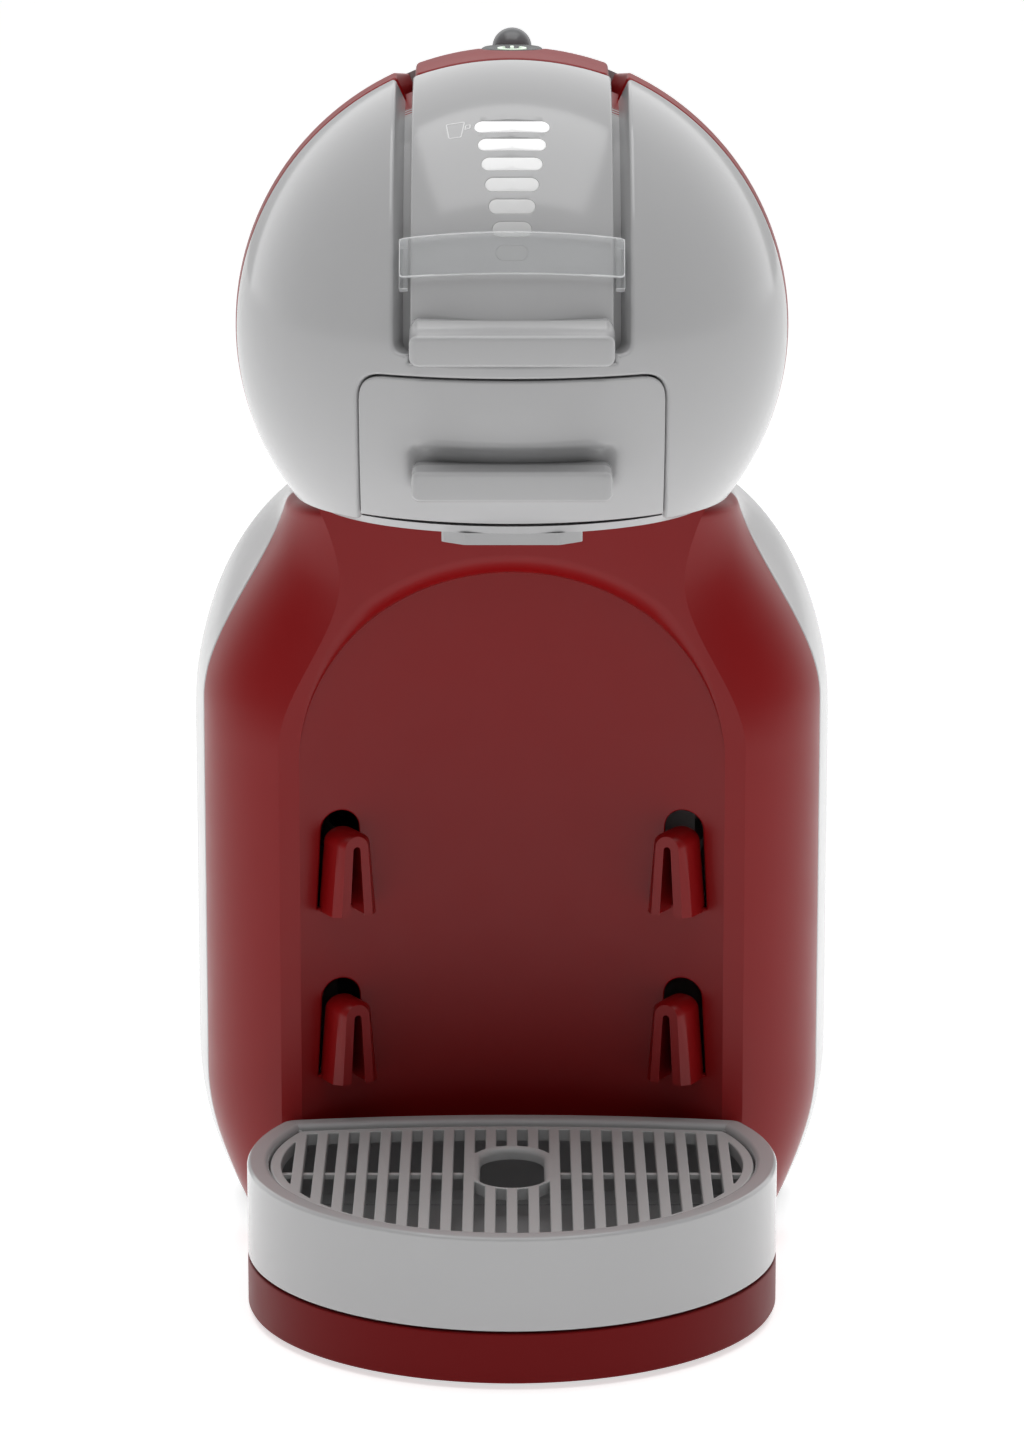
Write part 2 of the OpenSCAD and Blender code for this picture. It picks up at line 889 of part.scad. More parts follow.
module drawer_frame() {
    color(dark) difference() {
        intersection() {
            union() {
                translate([-33.4, -83, 221]) cube([66.8, 54, 2.6]);
                translate([-30, -84, 199]) cube([60, 2.4, 24]);
                for (side = [-1, 1]) translate([side * 30.5 - 1.5, -83, 202]) cube([3, 54, 19.1]);
                translate([-30, -98, 216]) cube([60, 16, 3]);
            }
            head_solid(3.1);
        }
        translate([0, holder_y, 190]) cylinder(r = 26.2, h = 50);
    }
}

module capsule_holder() {
    color("black") difference() {
        union() {
            translate([0, holder_y, 199]) cylinder(r = 26, h = 26);
            translate([0, holder_y, 223.7]) cylinder(r = 29, h = 3);
        }
        translate([0, holder_y, 202]) cylinder(r = 23, h = 30);
        translate([0, holder_y, 195]) cylinder(r = 5, h = 20);
    }
}

module brew_plate() {
    color(dark) difference() {
        union() {
            translate([0, holder_y, plate_z]) cylinder(r = 24, h = 6);
            translate([-30, holder_y - 6, plate_z]) cube([60, 12, 6]);
            translate([0, holder_y, plate_z]) cylinder(r = 8, h = 16);
        }
        for (x = [-24, 24]) translate([x, holder_y, 230]) cylinder(r = 2.56, h = 20);
        translate([0, holder_y, 230]) cylinder(r = 1.5, h = 16);
        translate([0, holder_y + 1, plate_z + 10]) rotate([-90, 0, 0]) cylinder(r = 2.6, h = 10);
    }
}

module needle() {
    color("silver") translate([0, holder_y, 0]) difference() {
        union() {
            translate([0, 0, 229.6]) cylinder(r = 1.5, h = 16);
            translate([0, 0, 227.3]) cylinder(r1 = 0.3, r2 = 1.5, h = 2.31);
        }
        translate([0, 0, 230]) cylinder(r = 0.7, h = 20);
    }
}

module brew_seal() {
    color("orange") translate([0, holder_y, plate_z - 4]) difference() {
        cylinder(r = 21, h = 4);
        translate([0, 0, -1]) cylinder(r = 17.5, h = 8);
    }
}

// ---------- drip tray ----------

module drip_tray() {
    color(grey) translate([0, tray_y, 0]) difference() {
        translate([0, 0, tray_low]) linear_extrude(tray_top - tray_low) tray_outline(0);
        translate([0, 0, tray_low + 2.2]) linear_extrude(16) tray_outline(2.6);
        translate([0, 0, tray_low + 18]) linear_extrude(8) tray_outline(7.6);
        translate([0, 0, grid_low - 0.2]) linear_extrude(8) tray_outline(5.2);
    }
}

module drip_grid() {
    grid_h = grid_top - grid_low;
    color(grey) translate([0, tray_y, 0]) {
        difference() {
            translate([0, 0, grid_low]) linear_extrude(grid_h) tray_outline(5.5);
            intersection() {
                union() for (k = [-9.5 : 1 : 9.5])
                    translate([k * slot_pitch - slot_w / 2, -70, 0]) cube([slot_w, 140, 60]);
                translate([0, 0, 20]) linear_extrude(40) tray_outline(8.2);
                difference() {
                    translate([-80, -80, 0]) cube([160, 160, 80]);
                    translate([-80, 5, 0]) cube([160, 1.6, grid_low + 1.8]);
                    for (y = [-8, 8]) translate([0, y, 0]) cylinder(r = 9.6, h = 80);
                    translate([-9.6, -8, 0]) cube([19.2, 16, 80]);
                }
            }
            for (y = [-8, 8]) translate([0, y, 20]) cylinder(r = 7.7, h = 40);
            translate([-7.7, -8, 20]) cube([15.4, 16, 40]);
        }
    }
}

// ---------- water tank ----------

module tank_box(inset, z0, z1) {
    r = tank_corner - inset;
    depth = tank_back - tank_front - 2 * inset;
    translate([0, tank_front + inset, z0])
        rounded_plate(tank_w - 2 * inset, depth, r, z1 - z0);
}

module water_tank() {
    color([0.7, 0.75, 0.8, 0.5]) difference() {
        union() {
            tank_box(0, tank_low, tank_top);
            for (x = [-ear_x - ear_w, ear_x]) {
                translate([x, lid_hinge_y, lid_hinge_z]) rotate([0, 90, 0])
                    cylinder(r = lid_barrel, h = ear_w);
                translate([x, lid_hinge_y - 2, tank_top - 1]) cube([ear_w, 4, 3.9]);
            }
        }
        tank_box(tank_wall, tank_low + 2.2, tank_top + 0.01);
        translate([0, valve_y, 0]) cylinder(r = 6, h = 40);
        x_cylinder(1.56, 60, lid_hinge_y, lid_hinge_z);
    }
}

module tank_lid() {
    color(grey) difference() {
        union() {
            difference() {
                tank_box(0, tank_top + 0.4, tank_top + lid_t);
                translate([-60, lid_hinge_y, 200]) cube([120, 20, 60]);
            }
            x_cylinder(lid_barrel, 37, lid_hinge_y, lid_hinge_z);
        }
        for (x = [-ear_x - ear_w - 0.4, ear_x - 0.4])
            translate([x, lid_hinge_y - 3.4, 200]) difference() {
                cube([ear_w + 0.8, 20, 60]);
                translate([-1, 3.4, lid_hinge_z - 200]) rotate([0, 90, 0])
                    cylinder(r = 1.5, h = 10);
            }
        translate([0, tank_front + 16, tank_top + lid_t + 9]) rotate([0, 90, 0])
            translate([0, 0, -16]) cylinder(r = 12, h = 32);
    }
}

module tank_valve() {
    color("white") translate([0, valve_y, 0]) difference() {
        union() {
            translate([0, 0, 10]) cylinder(r = 6, h = 18);
            translate([0, 0, tank_low + 2.2]) cylinder(r = 9, h = 2);
        }
        translate([0, 0, 12]) cylinder(r = 4.4, h = 20);
        translate([0, 0, 9]) cylinder(r = 2.06, h = 5);
    }
}

module valve_plunger() {
    color("black") translate([0, valve_y, 0]) {
        translate([0, 0, 8.6]) cylinder(r = 2, h = 5);
        translate([0, 0, 12.05]) cylinder(r = 3.6, h = 2.4);
    }
}

module valve_spring() {
    color("silver") translate([0, valve_y, 0]) coil(2.8, 0.35, 14.5, 24, 5);
}

base_plinth();
bottom_plate();
rubber_feet();
front_shell();
side_cover_left();
side_cover_right();
rear_cover();
head_bezel();
head_hood();
head_rear_cover();
head_underside();
chassis();
hinge_pin();
drawer_rails();
guide_posts();
thermoblock();
thermal_fuse();
pump();
pump_piston();
pump_mounts();
flow_meter();
flow_rotor();
hot_cold_valve();
main_board();
board_parts();
lever_switch();
water_hoses();
tank_dock();
dock_seal();
cord_gland();
case_screws();
lever_front();
lever_cap();
lever_frame();
light_bars();
display_board();
power_button();
button_spring();
selector_ball();
selector_seat();
volume_slider();
drawer_front();
drawer_frame();
capsule_holder();
brew_plate();
needle();
brew_seal();
drip_tray();
drip_grid();
water_tank();
tank_lid();
tank_valve();
valve_plunger();
valve_spring();
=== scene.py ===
import json
import math

import bmesh
import bpy
import numpy as np
from mathutils import Matrix, Vector
from mathutils.geometry import delaunay_2d_cdt


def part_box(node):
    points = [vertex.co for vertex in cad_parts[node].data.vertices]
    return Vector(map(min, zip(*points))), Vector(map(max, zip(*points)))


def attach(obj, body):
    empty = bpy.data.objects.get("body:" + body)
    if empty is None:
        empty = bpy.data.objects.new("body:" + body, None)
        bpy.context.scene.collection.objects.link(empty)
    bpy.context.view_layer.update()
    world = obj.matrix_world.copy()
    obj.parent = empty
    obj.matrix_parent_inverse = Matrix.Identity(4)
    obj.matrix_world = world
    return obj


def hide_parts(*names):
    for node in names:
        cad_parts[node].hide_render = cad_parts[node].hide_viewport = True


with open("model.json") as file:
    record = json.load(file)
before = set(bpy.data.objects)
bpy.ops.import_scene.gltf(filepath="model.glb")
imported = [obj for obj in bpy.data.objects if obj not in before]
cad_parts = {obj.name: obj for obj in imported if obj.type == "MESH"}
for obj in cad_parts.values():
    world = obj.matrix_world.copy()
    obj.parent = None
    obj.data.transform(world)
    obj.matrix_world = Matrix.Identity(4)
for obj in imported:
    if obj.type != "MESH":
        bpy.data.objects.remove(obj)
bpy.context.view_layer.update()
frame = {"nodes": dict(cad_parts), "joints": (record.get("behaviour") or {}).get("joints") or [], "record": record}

# Lengths below are in millimetres in the row frame; make() turns them into metres.
MM = 0.001
PIVOTS = {j["name"]: np.array(j["pos_m"]) / MM for j in frame["joints"] if "pos_m" in j}
HEAD = PIVOTS["volume_slide"]
HINGE = PIVOTS["lever_hinge"]
NODES = frame["nodes"]


def box_mm(node):
    low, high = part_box(node)
    return np.array(low) / MM, np.array(high) / MM


# ---------------- materials

def new_material(name):
    material = bpy.data.materials.new(name)
    material.use_nodes = True
    nodes, links = material.node_tree.nodes, material.node_tree.links
    return material, nodes, links, nodes["Principled BSDF"]


def object_coords(nodes, links, scale):
    coords = nodes.new("ShaderNodeTexCoord")
    mapping = nodes.new("ShaderNodeMapping")
    mapping.inputs["Scale"].default_value = scale if isinstance(scale, tuple) else (scale,) * 3
    links.new(coords.outputs["Object"], mapping.inputs["Vector"])
    return mapping.outputs["Vector"]


def noise(nodes, links, scale, detail=3.0, roughness=0.5):
    node = nodes.new("ShaderNodeTexNoise")
    node.inputs["Scale"].default_value = 1.0
    node.inputs["Detail"].default_value = detail
    node.inputs["Roughness"].default_value = roughness
    links.new(object_coords(nodes, links, scale), node.inputs["Vector"])
    return node.outputs["Fac"]


def to_range(nodes, links, value, low, high):
    node = nodes.new("ShaderNodeMapRange")
    node.inputs["To Min"].default_value = low
    node.inputs["To Max"].default_value = high
    links.new(value, node.inputs["Value"])
    return node.outputs["Result"]


def shade_variation(nodes, links, color, spread, scale):
    mix = nodes.new("ShaderNodeMix")
    mix.data_type = "RGBA"
    mix.inputs["A"].default_value = (*[c * (1 - spread) for c in color], 1)
    mix.inputs["B"].default_value = (*[min(1, c * (1 + spread)) for c in color], 1)
    links.new(noise(nodes, links, scale), mix.inputs["Factor"])
    return mix.outputs["Result"]


def add_bump(nodes, links, shader, height, strength, distance):
    bump = nodes.new("ShaderNodeBump")
    bump.inputs["Strength"].default_value = strength
    bump.inputs["Distance"].default_value = distance
    links.new(height, bump.inputs["Height"])
    links.new(bump.outputs["Normal"], shader.inputs["Normal"])


def plastic(name, color, rough, spread=0.02, grain=2500, grain_depth=0.00001, shine=0.5):
    """Moulded plastic: faint colour drift, a fine moulded grain and roughness that varies a little."""
    material, nodes, links, shader = new_material(name)
    links.new(shade_variation(nodes, links, color, spread, 40), shader.inputs["Base Color"])
    wear = noise(nodes, links, 90, 4.0, 0.6)
    links.new(to_range(nodes, links, wear, rough * 0.85, rough * 1.15), shader.inputs["Roughness"])
    add_bump(nodes, links, shader, noise(nodes, links, grain, 2.0), 0.25, grain_depth)
    shader.inputs["Specular IOR Level"].default_value = shine
    return material


def metal(name, color, rough, stretch=(1, 1, 40)):
    """Metal with fine lines along the direction that stretch shortens."""
    material, nodes, links, shader = new_material(name)
    shader.inputs["Metallic"].default_value = 1.0
    links.new(shade_variation(nodes, links, color, 0.06, 60), shader.inputs["Base Color"])
    lines = noise(nodes, links, tuple(60 * s for s in stretch), 4.0, 0.7)
    links.new(to_range(nodes, links, lines, rough * 0.7, rough * 1.4), shader.inputs["Roughness"])
    add_bump(nodes, links, shader, lines, 0.3, 0.00003)
    return material


def clear(name, color, rough, cover):
    """Clear plastic seen as a thin sheet: mostly see-through, with its shine kept by a high index."""
    material, nodes, links, shader = new_material(name)
    shader.inputs["Alpha"].default_value = cover
    shader.inputs["IOR"].default_value = 2.2
    links.new(shade_variation(nodes, links, color, 0.01, 30), shader.inputs["Base Color"])
    smudge = noise(nodes, links, 70, 4.0, 0.6)
    links.new(to_range(nodes, links, smudge, rough * 0.6, rough * 1.4), shader.inputs["Roughness"])
    return material


def glow(name, color, light, strength):
    """A frosted light pipe: pale plastic with a soft light of its own; on the volume bars this glow is painted
    light.
    """
    material, nodes, links, shader = new_material(name)
    links.new(shade_variation(nodes, links, color, 0.02, 200), shader.inputs["Base Color"])
    shader.inputs["Roughness"].default_value = 0.35
    shader.inputs["Emission Color"].default_value = (*light, 1)
    shader.inputs["Emission Strength"].default_value = strength
    add_bump(nodes, links, shader, noise(nodes, links, 3000, 2.0), 0.2, 0.00001)
    return material


def board_material(name):
    """Green solder resist with lighter copper tracks under it."""
    material, nodes, links, shader = new_material(name)
    bricks = nodes.new("ShaderNodeTexBrick")
    bricks.inputs["Color1"].default_value = (0.015, 0.10, 0.04, 1)
    bricks.inputs["Color2"].default_value = (0.02, 0.13, 0.05, 1)
    bricks.inputs["Mortar"].default_value = (0.05, 0.28, 0.12, 1)
    bricks.inputs["Scale"].default_value = 1.0
    bricks.inputs["Mortar Size"].default_value = 0.03
    links.new(object_coords(nodes, links, 160), bricks.inputs["Vector"])
    links.new(bricks.outputs["Color"], shader.inputs["Base Color"])
    shader.inputs["Roughness"].default_value = 0.35
    add_bump(nodes, links, shader, bricks.outputs["Fac"], 0.4, 0.00005)
    return material


RED = plastic("red_gloss", (0.250, 0.0035, 0.0045), 0.34, shine=0.3)
RED_LOW = plastic("red_base", (0.150, 0.0022, 0.0030), 0.40, shine=0.1)
GREY = plastic("grey_gloss", (0.47, 0.47, 0.475), 0.14)
LIGHT = plastic("light_grey_gloss", (0.58, 0.58, 0.585), 0.2)
GREY_SATIN = plastic("grey_satin", (0.50, 0.505, 0.505), 0.36)
DARK = plastic("dark_moulded", (0.022, 0.022, 0.024), 0.5, spread=0.1, grain=1200,
               grain_depth=0.00004)
WHITE = plastic("white_acetal", (0.72, 0.72, 0.69), 0.4)
BLUE = plastic("blue_acetal", (0.04, 0.12, 0.45), 0.35)
RUBBER = plastic("black_rubber", (0.012, 0.012, 0.012), 0.75, spread=0.15, grain=900,
                 grain_depth=0.00006)
SILICONE = plastic("silicone_hose", (0.60, 0.58, 0.50), 0.45)
ORANGE = plastic("orange_silicone", (0.60, 0.13, 0.03), 0.5)
BUTTON = plastic("button_grey", (0.050, 0.054, 0.054), 0.22)
BALL = plastic("ball_grey", (0.14, 0.143, 0.148), 0.28)
STEEL = metal("stainless_steel", (0.62, 0.62, 0.63), 0.25)
CAST = metal("cast_aluminium", (0.60, 0.60, 0.61), 0.45, (3, 3, 3))
BRASS = metal("brass_machined", (0.70, 0.48, 0.16), 0.3)
CLEAR = clear("clear_polycarbonate", (0.85, 0.87, 0.88), 0.05, 0.16)
# The clear slider's edge faces: whiter and more opaque than the band, a painted highlight.
CLEAR_EDGE_HIGHLIGHT = clear("clear_edge_painted_highlight", (0.95, 0.96, 0.97), 0.1, 0.65)
TANK = clear("smoky_tank", (0.30, 0.33, 0.35), 0.08, 0.45)
BOARD = board_material("circuit_board")
INK = plastic("printed_white", (0.80, 0.80, 0.80), 0.4)

SLOT_MATERIALS = {
    "red_shell": RED, "light_grey": LIGHT, "grey_gloss": GREY, "grey_satin": GREY_SATIN,
    "dark_plastic": DARK, "white_plastic": WHITE, "blue_plastic": BLUE, "rubber": RUBBER,
    "steel": STEEL, "cast_aluminium": CAST, "brass": BRASS, "ceramic_white": WHITE,
    "circuit_board": BOARD, "silicone": SILICONE, "orange_silicone": ORANGE,
    "button_grey": BUTTON, "ball_grey": BALL, "clear_plastic": CLEAR, "tank_plastic": TANK,
    "light_lens": INK,
}
SLOT_OF = {s["node"]: s["material_slot"] for s in frame["record"]["subparts"]}
BODY_OF = {node: body for body, members in frame["record"]["behaviour"]["bodies"].items()
           for node in members}


# ---------------- outlines

def resample(points, step):
    """The same polyline with points about step apart; its ends stay."""
    points = np.asarray(points, float)
    length = np.concatenate([[0], np.cumsum(np.linalg.norm(np.diff(points, axis=0), axis=1))])
    count = max(2, int(math.ceil(length[-1] / step)) + 1)
    at = np.linspace(0, length[-1], count)
    return np.stack([np.interp(at, length, points[:, i]) for i in range(points.shape[1])], 1)


def trim(points, start, end):
    """The polyline without its first start and last end millimetres."""
    length = np.concatenate([[0], np.cumsum(np.linalg.norm(np.diff(points, axis=0), axis=1))])
    a, b = start, length[-1] - end
    keep = points[(length > a + 1e-6) & (length < b - 1e-6)]
    ends = [np.array([np.interp(at, length, points[:, i]) for i in (0, 1)]) for at in (a, b)]
    return np.vstack([ends[:1], keep, ends[1:]])


def rounded_loop(pieces, radii, step=1.2, arc_points=6):
    """A closed loop from polylines that meet at corners, with corner i, after piece i, rounded."""
    pieces = [resample(p, step) for p in pieces]
    out = []
    for i, piece in enumerate(pieces):
        out.append(trim(piece, radii[i - 1], radii[i]))
        if radii[i] > 0:
            a, b = out[-1][-1], trim(pieces[(i + 1) % len(pieces)], radii[i], 0)[0]
            c = piece[-1]
            t = np.linspace(0, 1, arc_points + 2)[1:-1, None]
            out.append((1 - t) ** 2 * a + 2 * t * (1 - t) * c + t ** 2 * b)
    loop = np.vstack(out)
    keep = np.linalg.norm(loop - np.roll(loop, 1, 0), axis=1) > 1e-4
    return loop[keep]


def polygon_loop(corners, radii, step=1.2, arc_points=6):
    corners = np.asarray(corners, float)
    pieces = [np.array([corners[i], corners[(i + 1) % len(corners)]]) for i in range(len(corners))]
    if np.isscalar(radii):
        radii = [radii] * len(corners)
    return rounded_loop(pieces, [radii[(i + 1) % len(corners)] for i in range(len(corners))],
                        step, arc_points)


def stadium(x, y, width, height, arc_points=10):
    r = height / 2
    angle = np.linspace(-math.pi / 2, math.pi / 2, arc_points)
    right = np.stack([x + width / 2 - r + r * np.cos(angle), y + r * np.sin(angle)], 1)
    left = np.stack([x - width / 2 + r - r * np.cos(angle), y - r * np.sin(angle)], 1)
    return np.vstack([right, left])


def circle(x, y, r, count=64):
    angle = np.arange(count) * 2 * math.pi / count
    return np.stack([x + r * np.cos(angle), y + r * np.sin(angle)], 1)


def area(loop):
    x, y = loop[:, 0], loop[:, 1]
    return 0.5 * np.sum(x * np.roll(y, -1) - np.roll(x, -1) * y)


def offset(loop, distance):
    """The loop moved to its left by distance, a number or one number for each point."""
    forward = np.roll(loop, -1, 0) - loop
    forward /= np.maximum(np.linalg.norm(forward, axis=1), 1e-6)[:, None]
    normal = np.stack([-forward[:, 1], forward[:, 0]], 1)
    before = np.roll(normal, 1, 0)
    both = (normal + before) / np.maximum(1 + np.sum(normal * before, 1), 0.3)[:, None]
    return loop + both * np.broadcast_to(distance, len(loop))[:, None]


def inside(points, loops):
    crossings = np.zeros(len(points), int)
    for loop in loops:
        a, b = loop, np.roll(loop, -1, 0)
        for start in range(0, len(points), 4000):
            p = points[start:start + 4000]
            spans = (a[None, :, 1] > p[:, None, 1]) != (b[None, :, 1] > p[:, None, 1])
            slope = (b[:, 0] - a[:, 0]) / np.where(b[:, 1] == a[:, 1], 1e-9, b[:, 1] - a[:, 1])
            cross = a[None, :, 0] + (p[:, None, 1] - a[None, :, 1]) * slope[None]
            crossings[start:start + 4000] += np.sum(spans & (p[:, None, 0] < cross), 1)
    return crossings % 2 == 1


def fill(loops, step):
    """Triangles over the region within the loops: points, triangles, and each loop's indices."""
    edge = np.vstack(loops)
    low, high = edge.min(0), edge.max(0)
    rows = np.arange(low[1] + step / 2, high[1], step * 0.866)
    grid = np.array([(x + (step / 2 if i % 2 else 0), y) for i, y in enumerate(rows)
                     for x in np.arange(low[0] + step / 2, high[0], step)]).reshape(-1, 2)
    grid = grid[inside(grid, loops)]
    near = np.ones(len(grid), bool)
    for start in range(0, len(grid), 2000):
        part = grid[start:start + 2000]
        gap = np.linalg.norm(part[:, None] - edge[None], axis=2).min(1)
        near[start:start + 2000] = gap > 0.55 * step
    grid = grid[near]
    edges, count = [], 0
    for loop in loops:
        n = len(loop)
        edges += [(count + i, count + (i + 1) % n) for i in range(n)]
        count += n
    given = [Vector(p) for p in np.vstack([edge, grid])]
    points, _, faces, origin, _, _ = delaunay_2d_cdt(given, edges, [], 0, 1e-6)
    points = np.array([tuple(p) for p in points])
    made = {}
    for new, olds in enumerate(origin):
        for old in olds:
            made[old] = new
    centres = np.array([points[list(f)].mean(0) for f in faces])
    kept = [tuple(f) for f, ok in zip(faces, inside(centres, loops), strict=True) if ok]
    ids, count = [], 0
    for loop in loops:
        ids.append([made[count + i] for i in range(len(loop))])
        count += len(loop)
    return points, kept, ids


# ---------------- meshes

class Shape:
    """Points and faces in millimetres, gathered from several calls."""

    def __init__(self):
        self.points, self.faces = [], []

    def add(self, points, faces):
        start = len(self.points)
        self.points += [tuple(p) for p in points]
        self.faces += [tuple(start + i for i in f) for f in faces]
        return self

    def join(self, other):
        return self.add(other.points, other.faces)

    def mirrored(self):
        flipped = Shape()
        return flipped.add([(-x, y, z) for x, y, z in self.points], [f[::-1] for f in self.faces])


def ring_faces(before, after):
    n = len(before)
    return [(before[i], before[(i + 1) % n], after[(i + 1) % n], after[i]) for i in range(n)]


def skin(loops, surface, depth, fillet, step=2.5, fillet_steps=4):
    """A closed panel over the loops' region. surface(points, depth) places it, fillet rounds its edges
    and depth is its thickness; both are a number, or a list with one entry for each loop."""
    loops = [loops[0] if area(loops[0]) > 0 else loops[0][::-1]] + \
        [hole if area(hole) < 0 else hole[::-1] for hole in loops[1:]]
    fillets = fillet if isinstance(fillet, list) else [fillet] * len(loops)
    depths = depth if isinstance(depth, list) else [depth] * len(loops)
    back_depth = depths[0]
    points, faces, ids = fill([offset(l, f) for l, f in zip(loops, fillets, strict=True)], step)
    shape = Shape().add(surface(points, np.zeros(len(points))), faces)
    last = []
    for loop, r, d, ring in zip(loops, fillets, depths, ids, strict=True):
        rings = []
        if np.max(r) > 0:
            for k in range(1, fillet_steps + 1):
                turn = math.pi / 2 * k / fillet_steps
                rings.append((offset(loop, np.multiply(r, 1 - math.sin(turn))),
                              np.multiply(r, 1 - math.cos(turn))))
        rings.append((loop, d))
        for at, down in rings:
            start = len(shape.points)
            shape.points += [tuple(p) for p in surface(at, np.broadcast_to(down, len(at)))]
            new = list(range(start, start + len(at)))
            shape.faces += ring_faces(ring, new)
            ring = new
        last.append(ring)
    points, faces, ids = fill(loops, step * 2)
    index = {}
    for known, ring in zip(ids, last, strict=True):
        index.update(zip(known, ring, strict=True))
    loose = [i for i in range(len(points)) if i not in index]
    index.update({i: len(shape.points) + k for k, i in enumerate(loose)})
    if loose:
        placed = surface(points[loose], np.full(len(loose), float(np.max(back_depth))))
        shape.points += [tuple(p) for p in placed]
    shape.faces += [tuple(index[i] for i in reversed(f)) for f in faces]
    return shape


def loft(rings, caps=True):
    """A closed solid through rings of points, each ring closed."""
    shape = Shape()
    before = None
    for ring in rings:
        start = len(shape.points)
        shape.points += [tuple(p) for p in ring]
        now = list(range(start, start + len(ring)))
        if before:
            shape.faces += ring_faces(before, now)
        elif caps:
            shape.faces.append(tuple(reversed(now)))
        before = now
    if caps:
        shape.faces.append(tuple(before))
    return shape


def lathe(profile, centre, axis="Z", count=72):
    """The profile's (radius, height) points turned about an axis through centre."""
    rings = []
    for r, h in profile:
        angle = np.arange(count) * 2 * math.pi / count
        flat = np.stack([r * np.cos(angle), r * np.sin(angle), np.full(count, h)], 1)
        rings.append(flat if axis == "Z" else flat[:, [2, 0, 1]])
    return loft([ring + np.asarray(centre) for ring in rings])


def make(name, shape, material, body, replaced=(), sharp=38):
    """A finished piece from a Shape: closed normals, smooth shading and its place in the frame."""
    mesh = bpy.data.meshes.new(name)
    bm = bmesh.new()
    verts = [bm.verts.new([c * MM for c in p]) for p in shape.points]
    for face in shape.faces:
        try:
            bm.faces.new([verts[i] for i in face])
        except ValueError:
            continue
    bmesh.ops.remove_doubles(bm, verts=bm.verts, dist=1e-6)
    bmesh.ops.dissolve_degenerate(bm, edges=bm.edges, dist=1e-7)
    bmesh.ops.recalc_face_normals(bm, faces=bm.faces)
    for face in bm.faces:
        face.smooth = True
    bm.to_mesh(mesh)
    bm.free()
    mesh.set_sharp_from_angle(angle=math.radians(sharp))
    piece = bpy.data.objects.new(name, mesh)
    bpy.context.scene.collection.objects.link(piece)
    mesh.materials.append(material)
    weighted = piece.modifiers.new("even_normals", "WEIGHTED_NORMAL")
    weighted.keep_sharp = True
    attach(piece, body)
    if replaced:
        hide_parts(*replaced)
    return piece


def stand_in_for(node, shape, material=None, sharp=38):
    """The piece that a CAD node is shown as, on the node's own body and slot."""
    slot = SLOT_OF[node]
    return make(node + "_skin", shape, material or SLOT_MATERIALS[slot], BODY_OF[node],
                (node,), sharp)


# ---------------- head

HEAD_R = 65.5
CONE = 8.1 / 70
HINGE_RUN = HINGE[1] - HEAD[1]
BARREL_R = 16.0
SLOT_HALF = 27.2
SLOT_FLOOR = 238 - HEAD[2]
SLOT_DEPTH = 5.7
BAR_SLOT_HALF = 23.7
BAR_SLOT_FLOOR = 236 - HEAD[2]
SEAM_Y = -42 - HEAD[1]
HOOD_END = 10
FLOOR_FRONT = 195.5 - HEAD[2]
FLOOR_REAR = 190.1 - HEAD[2]
DRAWER_HALF = 35.2
DRAWER_TOP = 232.4 - HEAD[2]
DRAWER_LOW = 197.2 - HEAD[2]
GAP = 0.4


def ball(points, depth, radius=HEAD_R):
    """Places (u, v), arc lengths from the foremost point, on the ball."""
    length = np.maximum(np.hypot(points[:, 0], points[:, 1]), 1e-9)
    angle = length / HEAD_R
    out = np.stack([np.sin(angle) * points[:, 0] / length, -np.cos(angle),
                    np.sin(angle) * points[:, 1] / length], 1)
    return HEAD + out * (radius - depth)[:, None]


def on_ball(points):
    """(x, z) from the ball's centre, seen from the front, as (u, v) for ball()."""
    points = np.asarray(points, float)
    radius = np.maximum(np.hypot(points[:, 0], points[:, 1]), 1e-9)
    angle = np.arcsin(np.minimum(radius / HEAD_R, 1))
    return points * (HEAD_R * angle / radius)[:, None]


def line(a, b):
    return resample([a, b], 1.0)


def seam_arc(start, end):
    """The seam circle in (x, z), by angle from the top, positive towards +X."""
    radius = math.sqrt(HEAD_R ** 2 - SEAM_Y ** 2)
    angle = np.radians(np.linspace(start, end, 120))
    return np.stack([radius * np.sin(angle), radius * np.cos(angle)], 1)


def crown(points, depth):
    """Places (x, v): v is the way over the top, 0 above the ball's centre and negative in front.
    Past the hinge it turns down round the hinge."""
    x, v = points[:, 0], points[:, 1]
    depth = np.broadcast_to(depth, len(x))
    front = np.minimum(v, 0) / HEAD_R
    run = np.clip(v, 0, HINGE_RUN)
    reach = np.sqrt((HEAD_R - CONE * run - depth) ** 2 - x ** 2)
    y = HEAD[1] + reach * np.sin(front) + run
    z = HEAD[2] + reach * np.cos(front)
    turn = np.maximum(v - HINGE_RUN, 0) / BARREL_R
    arm = HEAD[2] + reach - HINGE[2]
    past = v > HINGE_RUN
    y = np.where(past, HINGE[1] + arm * np.sin(turn), y)
    z = np.where(past, HINGE[2] + arm * np.cos(turn), z)
    return np.stack([x, y, z], 1)


def crown_v(y):
    """The way over the top at which the crown has this y."""
    return HEAD_R * math.asin((y - HEAD[1]) / HEAD_R) if y < HEAD[1] else y - HEAD[1]


def elevation_v(degrees):
    return -HEAD_R * math.radians(90 - degrees)


